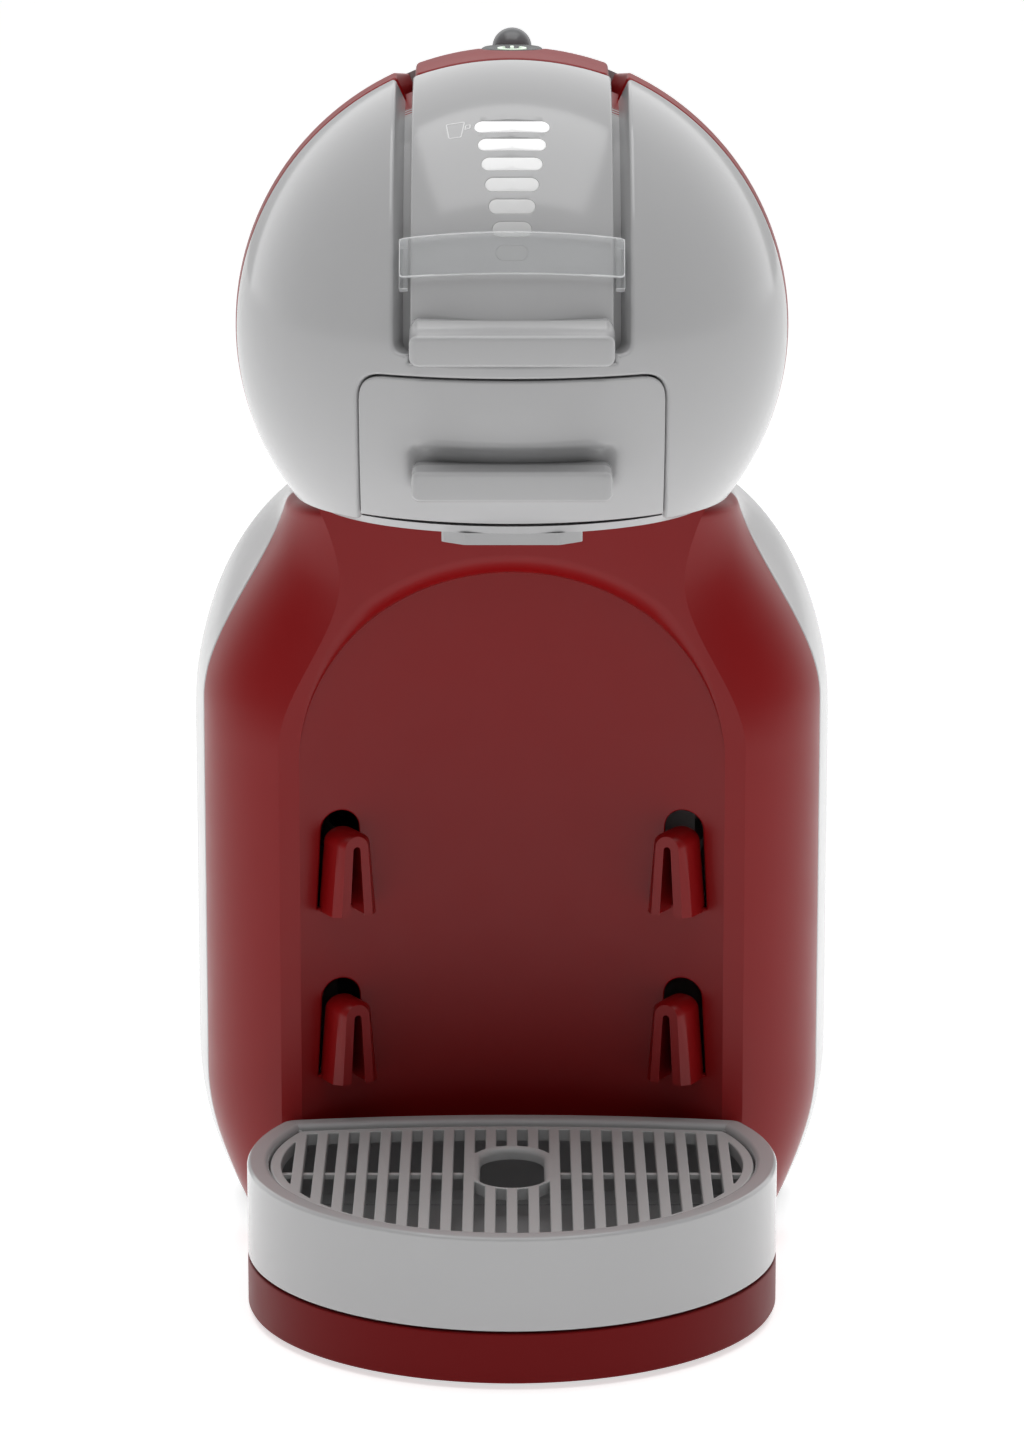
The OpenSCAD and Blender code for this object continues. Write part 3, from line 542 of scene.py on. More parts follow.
def head_bezel():
    top = math.degrees(math.asin(SLOT_HALF / math.sqrt(HEAD_R ** 2 - SEAM_Y ** 2)))
    foot = math.degrees(math.acos(FLOOR_FRONT / math.sqrt(HEAD_R ** 2 - SEAM_Y ** 2)))
    foot_x = seam_arc(foot, foot)[0][0]
    open_half, open_top = DRAWER_HALF + GAP, DRAWER_TOP + GAP
    left = seam_arc(-top, -foot)
    right = seam_arc(foot, top)
    corners = [
        (-open_half, FLOOR_FRONT), (-open_half, open_top), (open_half, open_top),
        (open_half, FLOOR_FRONT), (foot_x, FLOOR_FRONT)
    ]
    slot_top = right[-1][1]
    slot = [
        (SLOT_HALF, slot_top), (SLOT_HALF, SLOT_FLOOR), (BAR_SLOT_HALF, SLOT_FLOOR),
        (BAR_SLOT_HALF, BAR_SLOT_FLOOR), (-BAR_SLOT_HALF, BAR_SLOT_FLOOR),
        (-BAR_SLOT_HALF, SLOT_FLOOR), (-SLOT_HALF, SLOT_FLOOR), (-SLOT_HALF, slot_top)
    ]
    pieces = [left, line(left[-1], corners[0])]
    pieces += [line(corners[i], corners[i + 1]) for i in range(4)]
    pieces += [right] + [line(slot[i], slot[i + 1]) for i in range(7)]
    radii = [1.2, 0.6, 6.6, 6.6, 0.6, 1.2, 2.0, 2.8, 0.3, 0.3, 0.3, 0.3, 2.8, 2.0]
    loop = rounded_loop([on_ball(p) for p in pieces], radii, 1.0)
    shape = skin([loop], ball, 6.4, 0.9, 2.2, 5)
    for side in (1, -1):
        shape.join(channel(side, elevation_v(1.2), crown_v(-52.0)))
    return shape


def channel(side, low, high):
    """The wall and floor of the channel beside the lever, from low to high over the crown."""
    bend = 1.6
    wall, floor = SLOT_HALF - 0.06, SLOT_DEPTH
    turn = np.radians(np.linspace(0, 90, 7))
    profile = [(wall, 0.95)]
    profile += [(wall - bend * (1 - math.cos(t)), floor - bend + bend * math.sin(t)) for t in turn]
    profile += [(20.0, floor), (20.0, floor + 1), (wall + 0.7, floor + 1), (wall + 0.7, 1.4)]
    profile = np.array(profile)
    steps = np.arange(low, high + 1e-6, (high - low) / max(6, int((high - low) / 1.5)))
    rings = []
    for v in steps:
        at = np.stack([profile[:, 0] * side, np.full(len(profile), v)], 1)
        rings.append(crown(at, profile[:, 1]))
    return loft(rings)


def head_hood():
    """Both halves of the red ring, their channel linings and the floor that joins them."""
    def ring_surface(points, depth):
        run = points[:, 1] - HEAD[1]
        radius = np.where(run < 0, np.sqrt(HEAD_R ** 2 - np.minimum(run, 0) ** 2),
                          HEAD_R - CONE * run) - depth
        angle = points[:, 0] / HEAD_R
        return np.stack([radius * np.sin(angle), points[:, 1],
                         HEAD[2] + radius * np.cos(angle)], 1)

    front, rear, step_y = HEAD[1] + SEAM_Y, HOOD_END, box_mm("front_shell")[0][1] + 0.4
    top = HEAD_R * math.asin(SLOT_HALF / HEAD_R)
    low_front = HEAD_R * math.acos(FLOOR_FRONT / HEAD_R)
    low_rear = HEAD_R * math.acos(FLOOR_REAR / HEAD_R)
    corners = [(top, front), (low_front, front), (low_front, step_y), (low_rear, step_y),
               (low_rear, rear), (top, rear)]
    loop = polygon_loop(corners, [2.0, 1.0, 0.3, 0.3, 0.6, 0.6], 1.0)
    right = skin([loop], ring_surface, 6.4, 0.8, 2.4, 4)
    right.join(channel(1, crown_v(-56.5), crown_v(HOOD_END)))
    shape = Shape().join(right).join(right.mirrored())
    half, floor_front, floor_rear = 44, -35.8, step_y - 0.6
    floor_top = box_mm("head_hood")[0][2] + 4.0
    floor = polygon_loop([(-half, floor_front), (half, floor_front), (half, floor_rear),
                          (-half, floor_rear)], 0.3)
    return shape.join(flat_panel([floor], floor_top, 2.0, 0.2))


def flat_panel(loops, top, thickness, fillet, step=4.0):
    """A level panel whose upper face is at top."""
    def surface(points, depth):
        return np.stack([points[:, 0], points[:, 1], top - depth], 1)
    return skin(loops, surface, thickness, fillet, step)


# ---------------- lever

LEVER_HALF = 23.0
CAP_HALF = 22.5
LIGHT_COUNT = 7
LIGHT_FIRST, LIGHT_STEP = 22.4, 4.9
LIGHT_H = 3.6
STRIP_LOW_Z = 246.2 - HEAD[2]
CAP_Y = -48.0
BUTTON_V = -32.5 - HEAD[1]
SELECTOR_V = -13.0 - HEAD[1]


def light_size(i):
    return 7.3 + 9.9 * i / (LIGHT_COUNT - 1)


def light_loop(i, grow):
    v = elevation_v(LIGHT_FIRST + LIGHT_STEP * i)
    return stadium(0, v, light_size(i) + 2 * grow, LIGHT_H + 2 * grow)


def bar_profile(front, low, high, crease):
    """The grab bar's section in (y, z): a hollow from crease to its top edge, then its face."""
    back_y = HEAD[1] - math.sqrt(HEAD_R ** 2 - (crease - HEAD[2]) ** 2)
    edge = 1.1
    t = np.linspace(0, 1, 9)[:, None]
    a, b, c = np.array([back_y, crease]), np.array([back_y - 1.2, high + 0.3]), \
        np.array([front + edge, high])
    hollow = (1 - t) ** 2 * a + 2 * t * (1 - t) * b + t ** 2 * c
    turn = np.radians(np.linspace(0, 90, 7))[1:, None]
    upper = np.array([front + edge, high - edge]) + edge * np.hstack([-np.sin(turn), np.cos(turn)])
    lower = np.array([front + edge, low + edge]) + edge * np.hstack([-np.cos(turn), -np.sin(turn)])
    middle = np.array([[front - 0.12, (low + high) / 2]])
    inner = back_y + 5.0
    return np.vstack([hollow, upper, middle, lower, [[inner, low], [inner, crease]]])


def grab_bar(half, front, low, high, crease, end=2.3):
    """A bar across the front with rounded ends."""
    profile = bar_profile(front, low, high, crease)
    profile = profile if area(profile) > 0 else profile[::-1]
    keep = np.linalg.norm(profile - np.roll(profile, 1, 0), axis=1) > 1e-4
    profile = profile[keep]
    turn = np.radians(np.linspace(0, 90, 9))
    ends = [(half - end + end * math.sin(a), end * (1 - math.cos(a)) * 0.82) for a in turn]
    stations = [(-x, inset) for x, inset in reversed(ends)]
    stations += [(x, 0.0) for x in np.linspace(-half + end + 2, half - end - 2, 12)]
    stations += ends
    centre = np.array([profile[:, 0].max() - 1.0, (low + high) / 2])
    rings = []
    for x, inset in stations:
        reach = profile - centre
        height = (high - low) / 2
        scale_z = max(0.05, 1 - inset / height)
        moved = centre + reach * np.array([1, scale_z])
        moved[:, 0] = np.where(reach[:, 0] < -1.5, moved[:, 0] + inset, moved[:, 0])
        rings.append(np.column_stack([np.full(len(moved), x), moved]))
    return loft(rings)


def lever_front():
    low = elevation_v(math.degrees(math.asin((STRIP_LOW_Z - 4) / HEAD_R)))
    high = crown_v(CAP_Y) - 0.12
    corners = [(-LEVER_HALF, low), (LEVER_HALF, low), (LEVER_HALF, high), (-LEVER_HALF, high)]
    outer = polygon_loop(corners, [0.3, 0.3, 1.0, 1.0], 1.0)
    holes = [light_loop(i, 0.04) for i in range(LIGHT_COUNT)]
    shape = skin([outer] + holes, crown, 4.4, [0.55] + [0.08] * LIGHT_COUNT, 1.6, 4)
    return shape.join(grab_bar(23.2, -104.8, 236.4, 243.6, STRIP_LOW_Z + HEAD[2]))


def light_bars():
    """Seven lenses flush in the strip; the upper ones are painted lighter and given a painted glow, standing in
    for light from above.
    """
    for i in range(LIGHT_COUNT):
        painted_light_share = i / (LIGHT_COUNT - 1)
        # Painted light: the base colour and the glow rise towards the top bar, where light from above falls.
        level = 0.42 + 0.50 * painted_light_share ** 0.8
        material = glow(f"light_lens_{i + 1}", (level,) * 3, (1, 1, 1), 0.02 + 0.28 * painted_light_share ** 1.4)
        shape = skin([light_loop(i, 0)], crown, 3.0, 0.12, 0.9, 3)
        piece = make(f"light_bar_{i + 1}", shape, material, "lever")
        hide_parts("light_bars")


def lever_cap():
    low, high = crown_v(CAP_Y) + 0.12, HINGE_RUN + BARREL_R * math.radians(118)
    corners = [(-CAP_HALF, low), (CAP_HALF, low), (CAP_HALF, high), (-CAP_HALF, high)]
    outer = polygon_loop(corners, [2.2, 2.2, 0.6, 0.6], 1.0)
    button = circle(0, BUTTON_V, 7.6)
    selector = stadium(0, SELECTOR_V, 2 * (2.9 + 5.2), 2 * 5.2, 16)
    return skin([outer, button, selector], crown, 3.0, [0.8, 0.35, 0.5], 2.0, 4)


def power_button():
    """A shallow dished disc with a stem and flange, flush with the cap."""
    low, high = box_mm("power_button")
    top = high[2] - 0.25
    profile = [(0.02, low[2]), (8.8, low[2]), (8.8, low[2] + 1.4), (7.25, low[2] + 1.6),
               (7.25, top - 0.7), (7.05, top - 0.25), (6.6, top), (5.6, top - 0.1),
               (3.0, top - 0.35), (0.02, top - 0.45)]
    return lathe(profile, (0, HEAD[1] + BUTTON_V, 0))


def power_symbol():
    """A broken ring and a bar, standing a little proud of the button's dish."""
    top = box_mm("power_button")[1][2] - 0.45 + 0.1
    gap, r, w = math.radians(38), 3.0, 0.4
    angle = np.linspace(math.pi / 2 + gap, math.pi / 2 + 2 * math.pi - gap, 48)
    outer = np.stack([(r + w) * np.cos(angle), (r + w) * np.sin(angle)], 1)
    inner = np.stack([(r - w) * np.cos(angle), (r - w) * np.sin(angle)], 1)
    ring = np.vstack([outer, inner[::-1]]) + [0, HEAD[1] + BUTTON_V]
    bar = polygon_loop([(-w, 1.0), (w, 1.0), (w, 4.4), (-w, 4.4)], 0.2, 0.8)
    bar = bar + [0, HEAD[1] + BUTTON_V]
    shape = flat_panel([ring], top, 0.5, 0.05, 1.0)
    return shape.join(flat_panel([bar], top, 0.5, 0.05, 1.0))


def selector_ball():
    low, high = box_mm("selector_ball")
    r = 4.7
    centre = high[2] - r
    angle = np.radians(np.linspace(-58, 89.5, 26))
    ball_part = [(r * math.cos(a), centre + r * math.sin(a)) for a in angle]
    profile = [(0.02, low[2] + 2), (1.8, low[2] + 2), (1.8, centre - 4.6), (2.2, centre - 4.2)]
    return lathe(profile + ball_part, (0, HEAD[1] + SELECTOR_V, 0))


def volume_slider():
    """A clear band over the strip with a foot in each channel."""
    low, high = elevation_v(18), elevation_v(26.4)
    half, foot_low = 25.6, elevation_v(15.6)
    outer, inner = 1.9, 0.45

    def surface(points, depth):
        return crown(points, depth - outer)

    corners = [(-half, low), (half, low), (half, high), (-half, high)]
    band = skin([polygon_loop(corners, 1.2, 0.8)], surface, outer - inner, 0.35, 1.5, 4)
    for side in (-1, 1):
        def foot_surface(points, depth, side=side):
            x = np.broadcast_to(side * half - side * depth, len(points))
            return crown(np.stack([x, points[:, 1]], 1), points[:, 0])
        foot = polygon_loop([(-outer + 0.4, foot_low), (4.5, foot_low), (4.5, high),
                             (-outer + 0.4, high)], [0.3, 1.0, 1.0, 0.3], 0.6)
        band.join(skin([foot], foot_surface, 2.0, 0.25, 1.2, 3))
    return band


def mug_symbol():
    """A printed outline of a plain mug, beside the top light."""
    v = elevation_v(LIGHT_FIRST + LIGHT_STEP * (LIGHT_COUNT - 1)) - 0.2
    x = -12.6
    cup = polygon_loop([(x - 1.9, v - 2.6), (x + 1.1, v - 2.6), (x + 1.9, v + 2.4),
                        (x - 2.6, v + 2.4)], 0.5, 0.5)
    handle = polygon_loop([(x + 1.7, v - 0.4), (x + 3.1, v - 0.1), (x + 3.2, v + 1.3),
                           (x + 1.9, v + 1.2)], 0.35, 0.4)

    def surface(points, depth):
        return crown(points, depth - 0.04)

    shape = Shape()
    for outline in (cup, handle):
        shape.join(skin([outline, offset(outline, 0.28)], surface, 0.12, 0.01, 0.6, 1))
    return shape


# ---------------- drawer

def dent(points, left, right, low, high, soft):
    """1 inside a box of (x, z), falling smoothly to 0 over soft millimetres outside it."""
    def side(value):
        t = np.clip(value / soft + 1, 0, 1)
        return t * t * (3 - 2 * t)
    return side(points[:, 0] - left) * side(right - points[:, 0]) * \
        side(points[:, 1] - low) * side(high - points[:, 1])


def drawer_front():
    corners = [(-DRAWER_HALF, DRAWER_LOW), (DRAWER_HALF, DRAWER_LOW), (DRAWER_HALF, DRAWER_TOP),
               (-DRAWER_HALF, DRAWER_TOP)]
    sides = [line(corners[i], corners[(i + 1) % 4]) for i in range(4)]
    loop = rounded_loop([on_ball(p) for p in sides], [0.8, 6.3, 6.3, 0.8], 1.0)

    def surface(points, depth):
        placed = ball(points, depth)
        pocket = dent(np.stack([placed[:, 0], placed[:, 2]], 1), -21.6, 21.6, 209, 214.2, 3.2)
        return ball(points, depth + 2.3 * pocket)

    shape = skin([loop], surface, 3.0, 0.6, 1.3, 4)
    return shape.join(grab_bar(22.8, -101.6, 205, 212, 212.6, 2.0))


# ---------------- body

PANEL_Y = -24.0
RECESS_HALF, RECESS_R = 51.8, 90.0
RECESS_AXIS = PANEL_Y - math.sqrt(RECESS_R ** 2 - RECESS_HALF ** 2)
ARCH_SPRING, ARCH_RISE = 126.0, 47.0
BODY_LOW, BODY_TOP = 4.3, 190.0
WIDEST_Y, REAR_Y = 34.0, 58.0
WALL = 2.5
WAIST_Z = 100


def ease(t):
    t = min(max(t, 0.0), 1.0)
    return t * t * (3 - 2 * t)


def panel_half(z):
    """Half the flat panel's width: narrower up to the neck, where it flares a little."""
    wide, neck, taper, flare = 56.8, 41.6, 15.2, 4.7
    neck_z = 172
    if z > neck_z:
        return neck + flare * ((z - neck_z) / 17) ** 1.6
    return wide - taper * ease((z - 130) / 42)


def seam_half(z):
    """Half the distance between the seams of the red shell and the side covers."""
    wide, shoulder, tuck = 76.2, 22.2, 9.6
    if z > WAIST_Z:
        return wide - shoulder * ease((z - 138) / 58)
    return wide - tuck * max(0.0, (44 - z) / 33) ** 2


def side_half(z):
    """Half the body's full width, rounded in at the shoulder and tucked in at the foot."""
    wide, top, tuck = 80, 45, 4.7
    if z > WAIST_Z:
        return top + (wide - top) * max(0.0, 1 - (max(0.0, z - 128) / 62) ** 2) ** 0.6
    return wide - tuck * max(0.0, (47 - z) / 31) ** 2


def arc_points(p, q, bulge, count):
    """Points on the arc from p to q that turns by twice bulge degrees, bowed to the right."""
    p, q = np.array(p, float), np.array(q, float)
    half = math.radians(bulge)
    a = np.linspace(-half, half, count + 1)[:, None]
    along = (np.sin(a) + math.sin(half)) / (2 * math.sin(half))
    aside = (np.cos(a) - math.cos(half)) / (2 * math.sin(half))
    way = q - p
    return p + along * way + aside * np.array([way[1], -way[0]])


def body_levels():
    return np.concatenate([np.linspace(BODY_LOW, 50, 24), np.linspace(56, 122, 8),
                           np.linspace(126, BODY_TOP - 3, 44)])


def shell_ring(line_points, wall, end_fillet, start_fillet=0.0):
    """A closed ring: the open line, rounded at its ends, and its inner face wall millimetres in."""
    step = np.gradient(line_points, axis=0)
    step /= np.linalg.norm(step, axis=1)[:, None]
    inward = np.stack([-step[:, 1], step[:, 0]], 1)
    length = np.concatenate([[0], np.cumsum(np.linalg.norm(np.diff(line_points, axis=0), axis=1))])
    keep = (length > start_fillet) & (length < length[-1] - end_fillet)
    outer = line_points[keep]
    turn = np.radians(np.linspace(0, 90, 5))[:, None]

    def rounding(at, along, inn, r):
        centre = at + r * along + r * inn
        return centre - r * (along * np.cos(turn) + inn * np.sin(turn))

    first = rounding(line_points[0], step[0], inward[0], start_fillet) if start_fillet \
        else line_points[:1]
    final = rounding(line_points[-1], -step[-1], inward[-1], end_fillet)[::-1]
    inner = (line_points + wall * inward)[::-1]
    return np.vstack([first, outer if start_fillet else outer[1:] if keep[0] else outer, final, inner])


def shell_loft(line_at, end_fillet, start_fillet=0.0):
    """The shell that line_at(z, inset) describes, with a rounded shoulder closing over its top."""
    rings = []
    for z in body_levels():
        ring = shell_ring(line_at(z, 0.0), WALL, end_fillet, start_fillet)
        rings.append(np.column_stack([ring, np.full(len(ring), z)]))
    for degrees in (20, 40, 60, 80, 90):
        a = math.radians(degrees)
        z = BODY_TOP - 3 + 3 * math.sin(a)
        ring = shell_ring(line_at(z, 3 * (1 - math.cos(a))), WALL, end_fillet, start_fillet)
        rings.append(np.column_stack([ring, np.full(len(ring), z)]))
    ring = shell_ring(line_at(BODY_TOP, 15.0), WALL, end_fillet, start_fillet)
    rings.append(np.column_stack([ring, np.full(len(ring), BODY_TOP)]))
    return loft(rings)


def cheek_line(z, inset):
    return arc_points((panel_half(z) - inset, PANEL_Y + min(inset, 3.0)),
                      (seam_half(z) - inset, 0.0), 27, 22)


def cover_line(z, inset):
    wide = side_half(z) - inset
    front = arc_points((seam_half(z) - inset, 0.25), (wide, WIDEST_Y), 6, 12)
    rear = arc_points((wide, WIDEST_Y), (wide - 7, REAR_Y), 14, 14)
    return np.vstack([front, rear[1:]])


def recess_y(x):
    return RECESS_AXIS + np.sqrt(RECESS_R ** 2 - np.asarray(x) ** 2)


def arch_loop(low):
    angle = np.radians(np.linspace(0, 180, 91))
    dome = np.stack([RECESS_HALF * np.cos(angle), ARCH_SPRING + ARCH_RISE * np.sin(angle)], 1)
    side = np.linspace(ARCH_SPRING, low, 40)[1:]
    left = np.stack([np.full(len(side), -RECESS_HALF), side], 1)
    foot = np.stack([np.linspace(-RECESS_HALF, RECESS_HALF, 40)[1:-1], np.full(38, low)], 1)
    right = np.stack([np.full(len(side), RECESS_HALF), side[::-1]], 1)
    return np.vstack([dome, left, foot, right])


def front_panel():
    """The flat panel with the arched hole, its soft lip and the hollow wall behind it."""
    levels = np.concatenate([body_levels(), [BODY_TOP - 0.1]])
    right = np.array([(panel_half(z), z) for z in levels])
    left = right[::-1] * [-1, 1]
    outer = np.vstack([right, left])
    arch = arch_loop(BODY_LOW + 1.5)
    hollow = np.maximum(recess_y(np.clip(arch[:, 0], -RECESS_HALF, RECESS_HALF)) - PANEL_Y, 0)
    lip = np.minimum(5.5, 0.55 * hollow)

    def plane(points, depth):
        return np.stack([points[:, 0], PANEL_Y + depth, points[:, 1]], 1)

    def wall(points, depth):
        x = np.clip(points[:, 0], -RECESS_HALF, RECESS_HALF)
        return np.stack([points[:, 0], recess_y(x) + depth, points[:, 1]], 1)

    shape = skin([outer, arch], plane, [WALL, hollow[::-1] + 0.2], [0.0, lip[::-1]], 5.0, 8)
    wall_loops = [arch_loop(BODY_LOW + 1.5)] + hanger_holes()
    return shape.join(skin(wall_loops, wall, WALL, [0.0] + [0.4] * 4, 4.0))


HANGER_X = 41.6
HANGER_LEVELS = (46.0, 88.5)
HANGER_H = 20.0
HANGER_REACH = 8.2
HANGER_SIZE = (4.2, 3.1)
SLOT_SIZE = (1.9, 0.95)
OPENING_SIZE = (5.6, 4.6)
CHAMFER = 1.9


def tapered_arch(foot, head, height, low=0.0):
    """Half widths foot below and head above, closed by a round top."""
    angle = np.radians(np.linspace(0, 180, 19))
    dome = np.stack([head * np.cos(angle), height - head + head * np.sin(angle)], 1)
    return np.vstack([[[foot, low]], dome, [[-foot, low]]])


def hanger_outline():
    """Two legs under a round head, with a tapered slot between them."""
    slot = tapered_arch(*SLOT_SIZE, HANGER_H - 2.6)
    outer = tapered_arch(*HANGER_SIZE, HANGER_H)
    return np.vstack([outer, slot[::-1]])


def hanger(side, low):
    """The hanger stands off the hollow wall; its edges widen behind the front face."""
    turn = -side * math.asin(HANGER_X / RECESS_R)
    base = np.array([side * HANGER_X, float(recess_y(HANGER_X)), low])
    along = np.array([math.cos(turn), math.sin(turn), 0])
    out = np.array([math.sin(turn), -math.cos(turn), 0])
    rings = []
    widen_over = 4.5
    stations = ((-1.0, CHAMFER), (HANGER_REACH - CHAMFER, CHAMFER), (HANGER_REACH - 0.25, 0.2),
                (HANGER_REACH, 0.0))
    for reach, grow in stations:
        flat = hanger_outline()
        wide = flat[:, :1] * (1 + grow / widen_over)
        tall = flat[:, 1:] * (1 + 0.4 * grow / HANGER_H)
        rings.append(base + wide * along + reach * out + tall * np.array([0, 0, 1]))
    return concave_loft(rings)


def concave_loft(rings):
    """A loft whose end faces are concave, so they are filled by triangles."""
    shape = loft(rings, caps=False)
    count = len(rings[0])
    for ring, start, flip in ((rings[0], 0, True), (rings[-1], count * (len(rings) - 1), False)):
        ring = np.asarray(ring)
        across = ring[len(ring) // 2] - ring[0]
        flat = np.stack([ring @ (across / np.linalg.norm(across)), ring[:, 2]], 1)
        _, faces, ids = fill([flat], 1000.0)
        back = {known: start + i for i, known in enumerate(ids[0])}
        shape.faces += [tuple(back[i] for i in (reversed(f) if flip else f)) for f in faces]
    return shape


def hanger_holes():
    """The moulding openings in the hollow wall, one above and behind each hanger."""
    holes = []
    for low in HANGER_LEVELS:
        for side in (-1, 1):
            arch = tapered_arch(*OPENING_SIZE, HANGER_H + 5.0, 1.0)
            holes.append(arch + [side * (HANGER_X + 0.6), low])
    return holes


def front_shell():
    shape = front_panel()
    cheek = shell_loft(cheek_line, 0.7)
    shape.join(cheek).join(cheek.mirrored())
    for side in (-1, 1):
        for low in HANGER_LEVELS:
            shape.join(hanger(side, low))
    return shape


# ---------------- tray and plinth

TRAY_Y = -56.2
TRAY_R = 63.8
BACK_R = 317.0
BACK_Y = -20.1 - TRAY_Y


def back_edge(x, inset=0.0):
    return BACK_Y - BACK_R + np.sqrt((BACK_R - inset) ** 2 - np.asarray(x) ** 2)


def front_arc(start, count):
    """The tray's circle from side to side round the front, start past its widest at each end."""
    angle = np.linspace(math.pi - start, 2 * math.pi + start, count)
    return np.stack([TRAY_R * np.cos(angle), TRAY_R * np.sin(angle)], 1)


def tray_outline(corner=2.0, step=1.6):
    """The tray's outline about its own axis: a circle cut off by a shallow arc behind."""
    x = TRAY_R
    for _ in range(60):
        x = math.sqrt(TRAY_R ** 2 - float(back_edge(x)) ** 2)
    y = float(back_edge(x))
    front = front_arc(math.atan2(y, x), 200)
    xs = np.linspace(x, -x, 80)
    back = np.stack([xs, back_edge(xs)], 1)
    return rounded_loop([front, back], [corner, corner], step)


def outline_loft(outline, profile):
    """Rings of the outline, moved in by each inset at each height of the profile."""
    rings = []
    for inset, z in profile:
        ring = offset(outline, inset)
        rings.append(np.column_stack([ring + [0, TRAY_Y], np.full(len(ring), z)]))
    return loft(rings)


def drip_tray():
    low, high = box_mm("drip_tray")
    z0, z1 = low[2], high[2]
    profile = [(1.4, z0), (0.5, z0 + 0.15), (0.12, z0 + 0.45), (0, z0 + 0.9), (0, z1 - 1.0),
               (0.1, z1 - 0.6), (0.4, z1 - 0.2), (0.95, z1), (3.9, z1), (4.5, z1 - 0.2),
               (4.95, z1 - 0.6), (5.2, z1 - 1.2), (5.2, z1 - 4.6), (7.6, z1 - 4.6),
               (7.6, z1 - 5.0), (2.6, z1 - 5.6), (2.6, z0 + 4), (4.6, z0 + 2.2)]
    return outline_loft(tray_outline(), profile)


def base_plinth():
    low, high = box_mm("base_plinth")
    z0, z1 = low[2], high[2]
    back = PANEL_Y - 0.4 - TRAY_Y
    front = front_arc(math.asin(back / TRAY_R), 220)
    outline = rounded_loop([front, line(front[-1], front[0])], [1.2, 1.2], 1.6)
    profile = [(3, z0 + 1.0), (2.4, z0), (1.2, z0), (0.4, z0 + 0.3), (0, z0 + 1.0), (0, z1 - 0.5),
               (0.12, z1 - 0.2), (0.5, z1), (6, z1)]
    return outline_loft(outline, profile)


GRID_PITCH = 5.15
SLOT_W = 2.55
DRAIN_HALF, DRAIN_RUN, BOSS_R = 7.7, 8.0, 9.6
DRAIN_Y = -3.6
GRID_DROP = 0.9
GRID_RIM = 8.2
RIB_START, RIB_HALF, RIB_TOP = 9.8, 0.9, 1.3


def grid_slots():
    """The long slots between the slats, short ones before and behind the drain, and end gaps."""
    slots = []
    inner = TRAY_R - GRID_RIM

    def add(x0, x1, low, high):
        if min(high(x0) - low(x0), high(x1) - low(x1)) < 1.5:
            return
        corners = [(x0, low(x0)), (x1, low(x1)), (x1, high(x1)), (x0, high(x0))]
        slots.append(polygon_loop(corners, 0.55, 1.6, 3))

    def front(x):
        return -math.sqrt(inner ** 2 - x ** 2)

    def rear(x):
        return min(float(back_edge(x, GRID_RIM)), math.sqrt(inner ** 2 - x ** 2))

    def boss(x):
        return math.sqrt(max(BOSS_R ** 2 - x ** 2, 9.0)) + DRAIN_RUN

    for k in np.arange(-9.5, 10):
        x0, x1 = k * GRID_PITCH - SLOT_W / 2, k * GRID_PITCH + SLOT_W / 2
        if abs(k) > 2:
            add(x0, x1, front, rear)
            continue
        add(x0, x1, front, lambda x: DRAIN_Y - boss(x))
        add(x0, x1, lambda x: DRAIN_Y + boss(x), rear)
    x0 = 10 * GRID_PITCH + SLOT_W / 2
    half = math.sqrt(inner ** 2 - x0 ** 2)
    angle = np.linspace(-math.asin(half / inner), math.asin(half / inner), 14)
    bow = np.stack([inner * np.cos(angle), inner * np.sin(angle)], 1)
    crescent = rounded_loop([bow, line(bow[-1], bow[0])], [1.2, 1.2], 1.2, 3)
    return slots + [crescent, crescent[::-1] * [-1, 1]]


def drip_grid():
    low, high = box_mm("drip_grid")
    outer = offset(tray_outline(), 5.55)
    drain = stadium(0, 0, 2 * (DRAIN_RUN + DRAIN_HALF), 2 * DRAIN_HALF, 20)[:, ::-1] + [0, DRAIN_Y]
    holes = grid_slots() + [drain]
    fillets = [0.6] + [0.35] * (len(holes) - 1) + [1.5]

    def level(top):
        def surface(points, depth):
            return np.stack([points[:, 0], points[:, 1] + TRAY_Y, top - depth], 1)
        return surface

    top = high[2] - GRID_DROP
    shape = skin([outer] + holes, level(top), top - low[2], fillets, 2.2, 3)
    half = TRAY_R - 8.5
    y0, y1 = DRAIN_Y - RIB_HALF, DRAIN_Y + RIB_HALF
    for x0, x1 in ((-half, -RIB_START), (RIB_START, half)):
        rib = polygon_loop([(x0, y0), (x1, y0), (x1, y1), (x0, y1)], 0.2, 3.0, 2)
        shape.join(skin([rib], level(low[2] + RIB_TOP), 1.2, 0.35, 6.0, 2))
    return shape


# ---------------- assembly

def paint_edge_highlight(piece, material):
    """Gives the faces that don't look straight out of the head a second, whiter and less see-through material: a
    painted highlight on the clear slider's edges.
    """
    piece.data.materials.append(material)
    middle = Vector(HEAD * MM)
    for face in piece.data.polygons:
        outward = face.center - middle
        outward.x = 0
        if abs(face.normal.dot(outward.normalized())) < 0.8 and abs(face.normal.x) < 0.9:
            face.material_index = 1


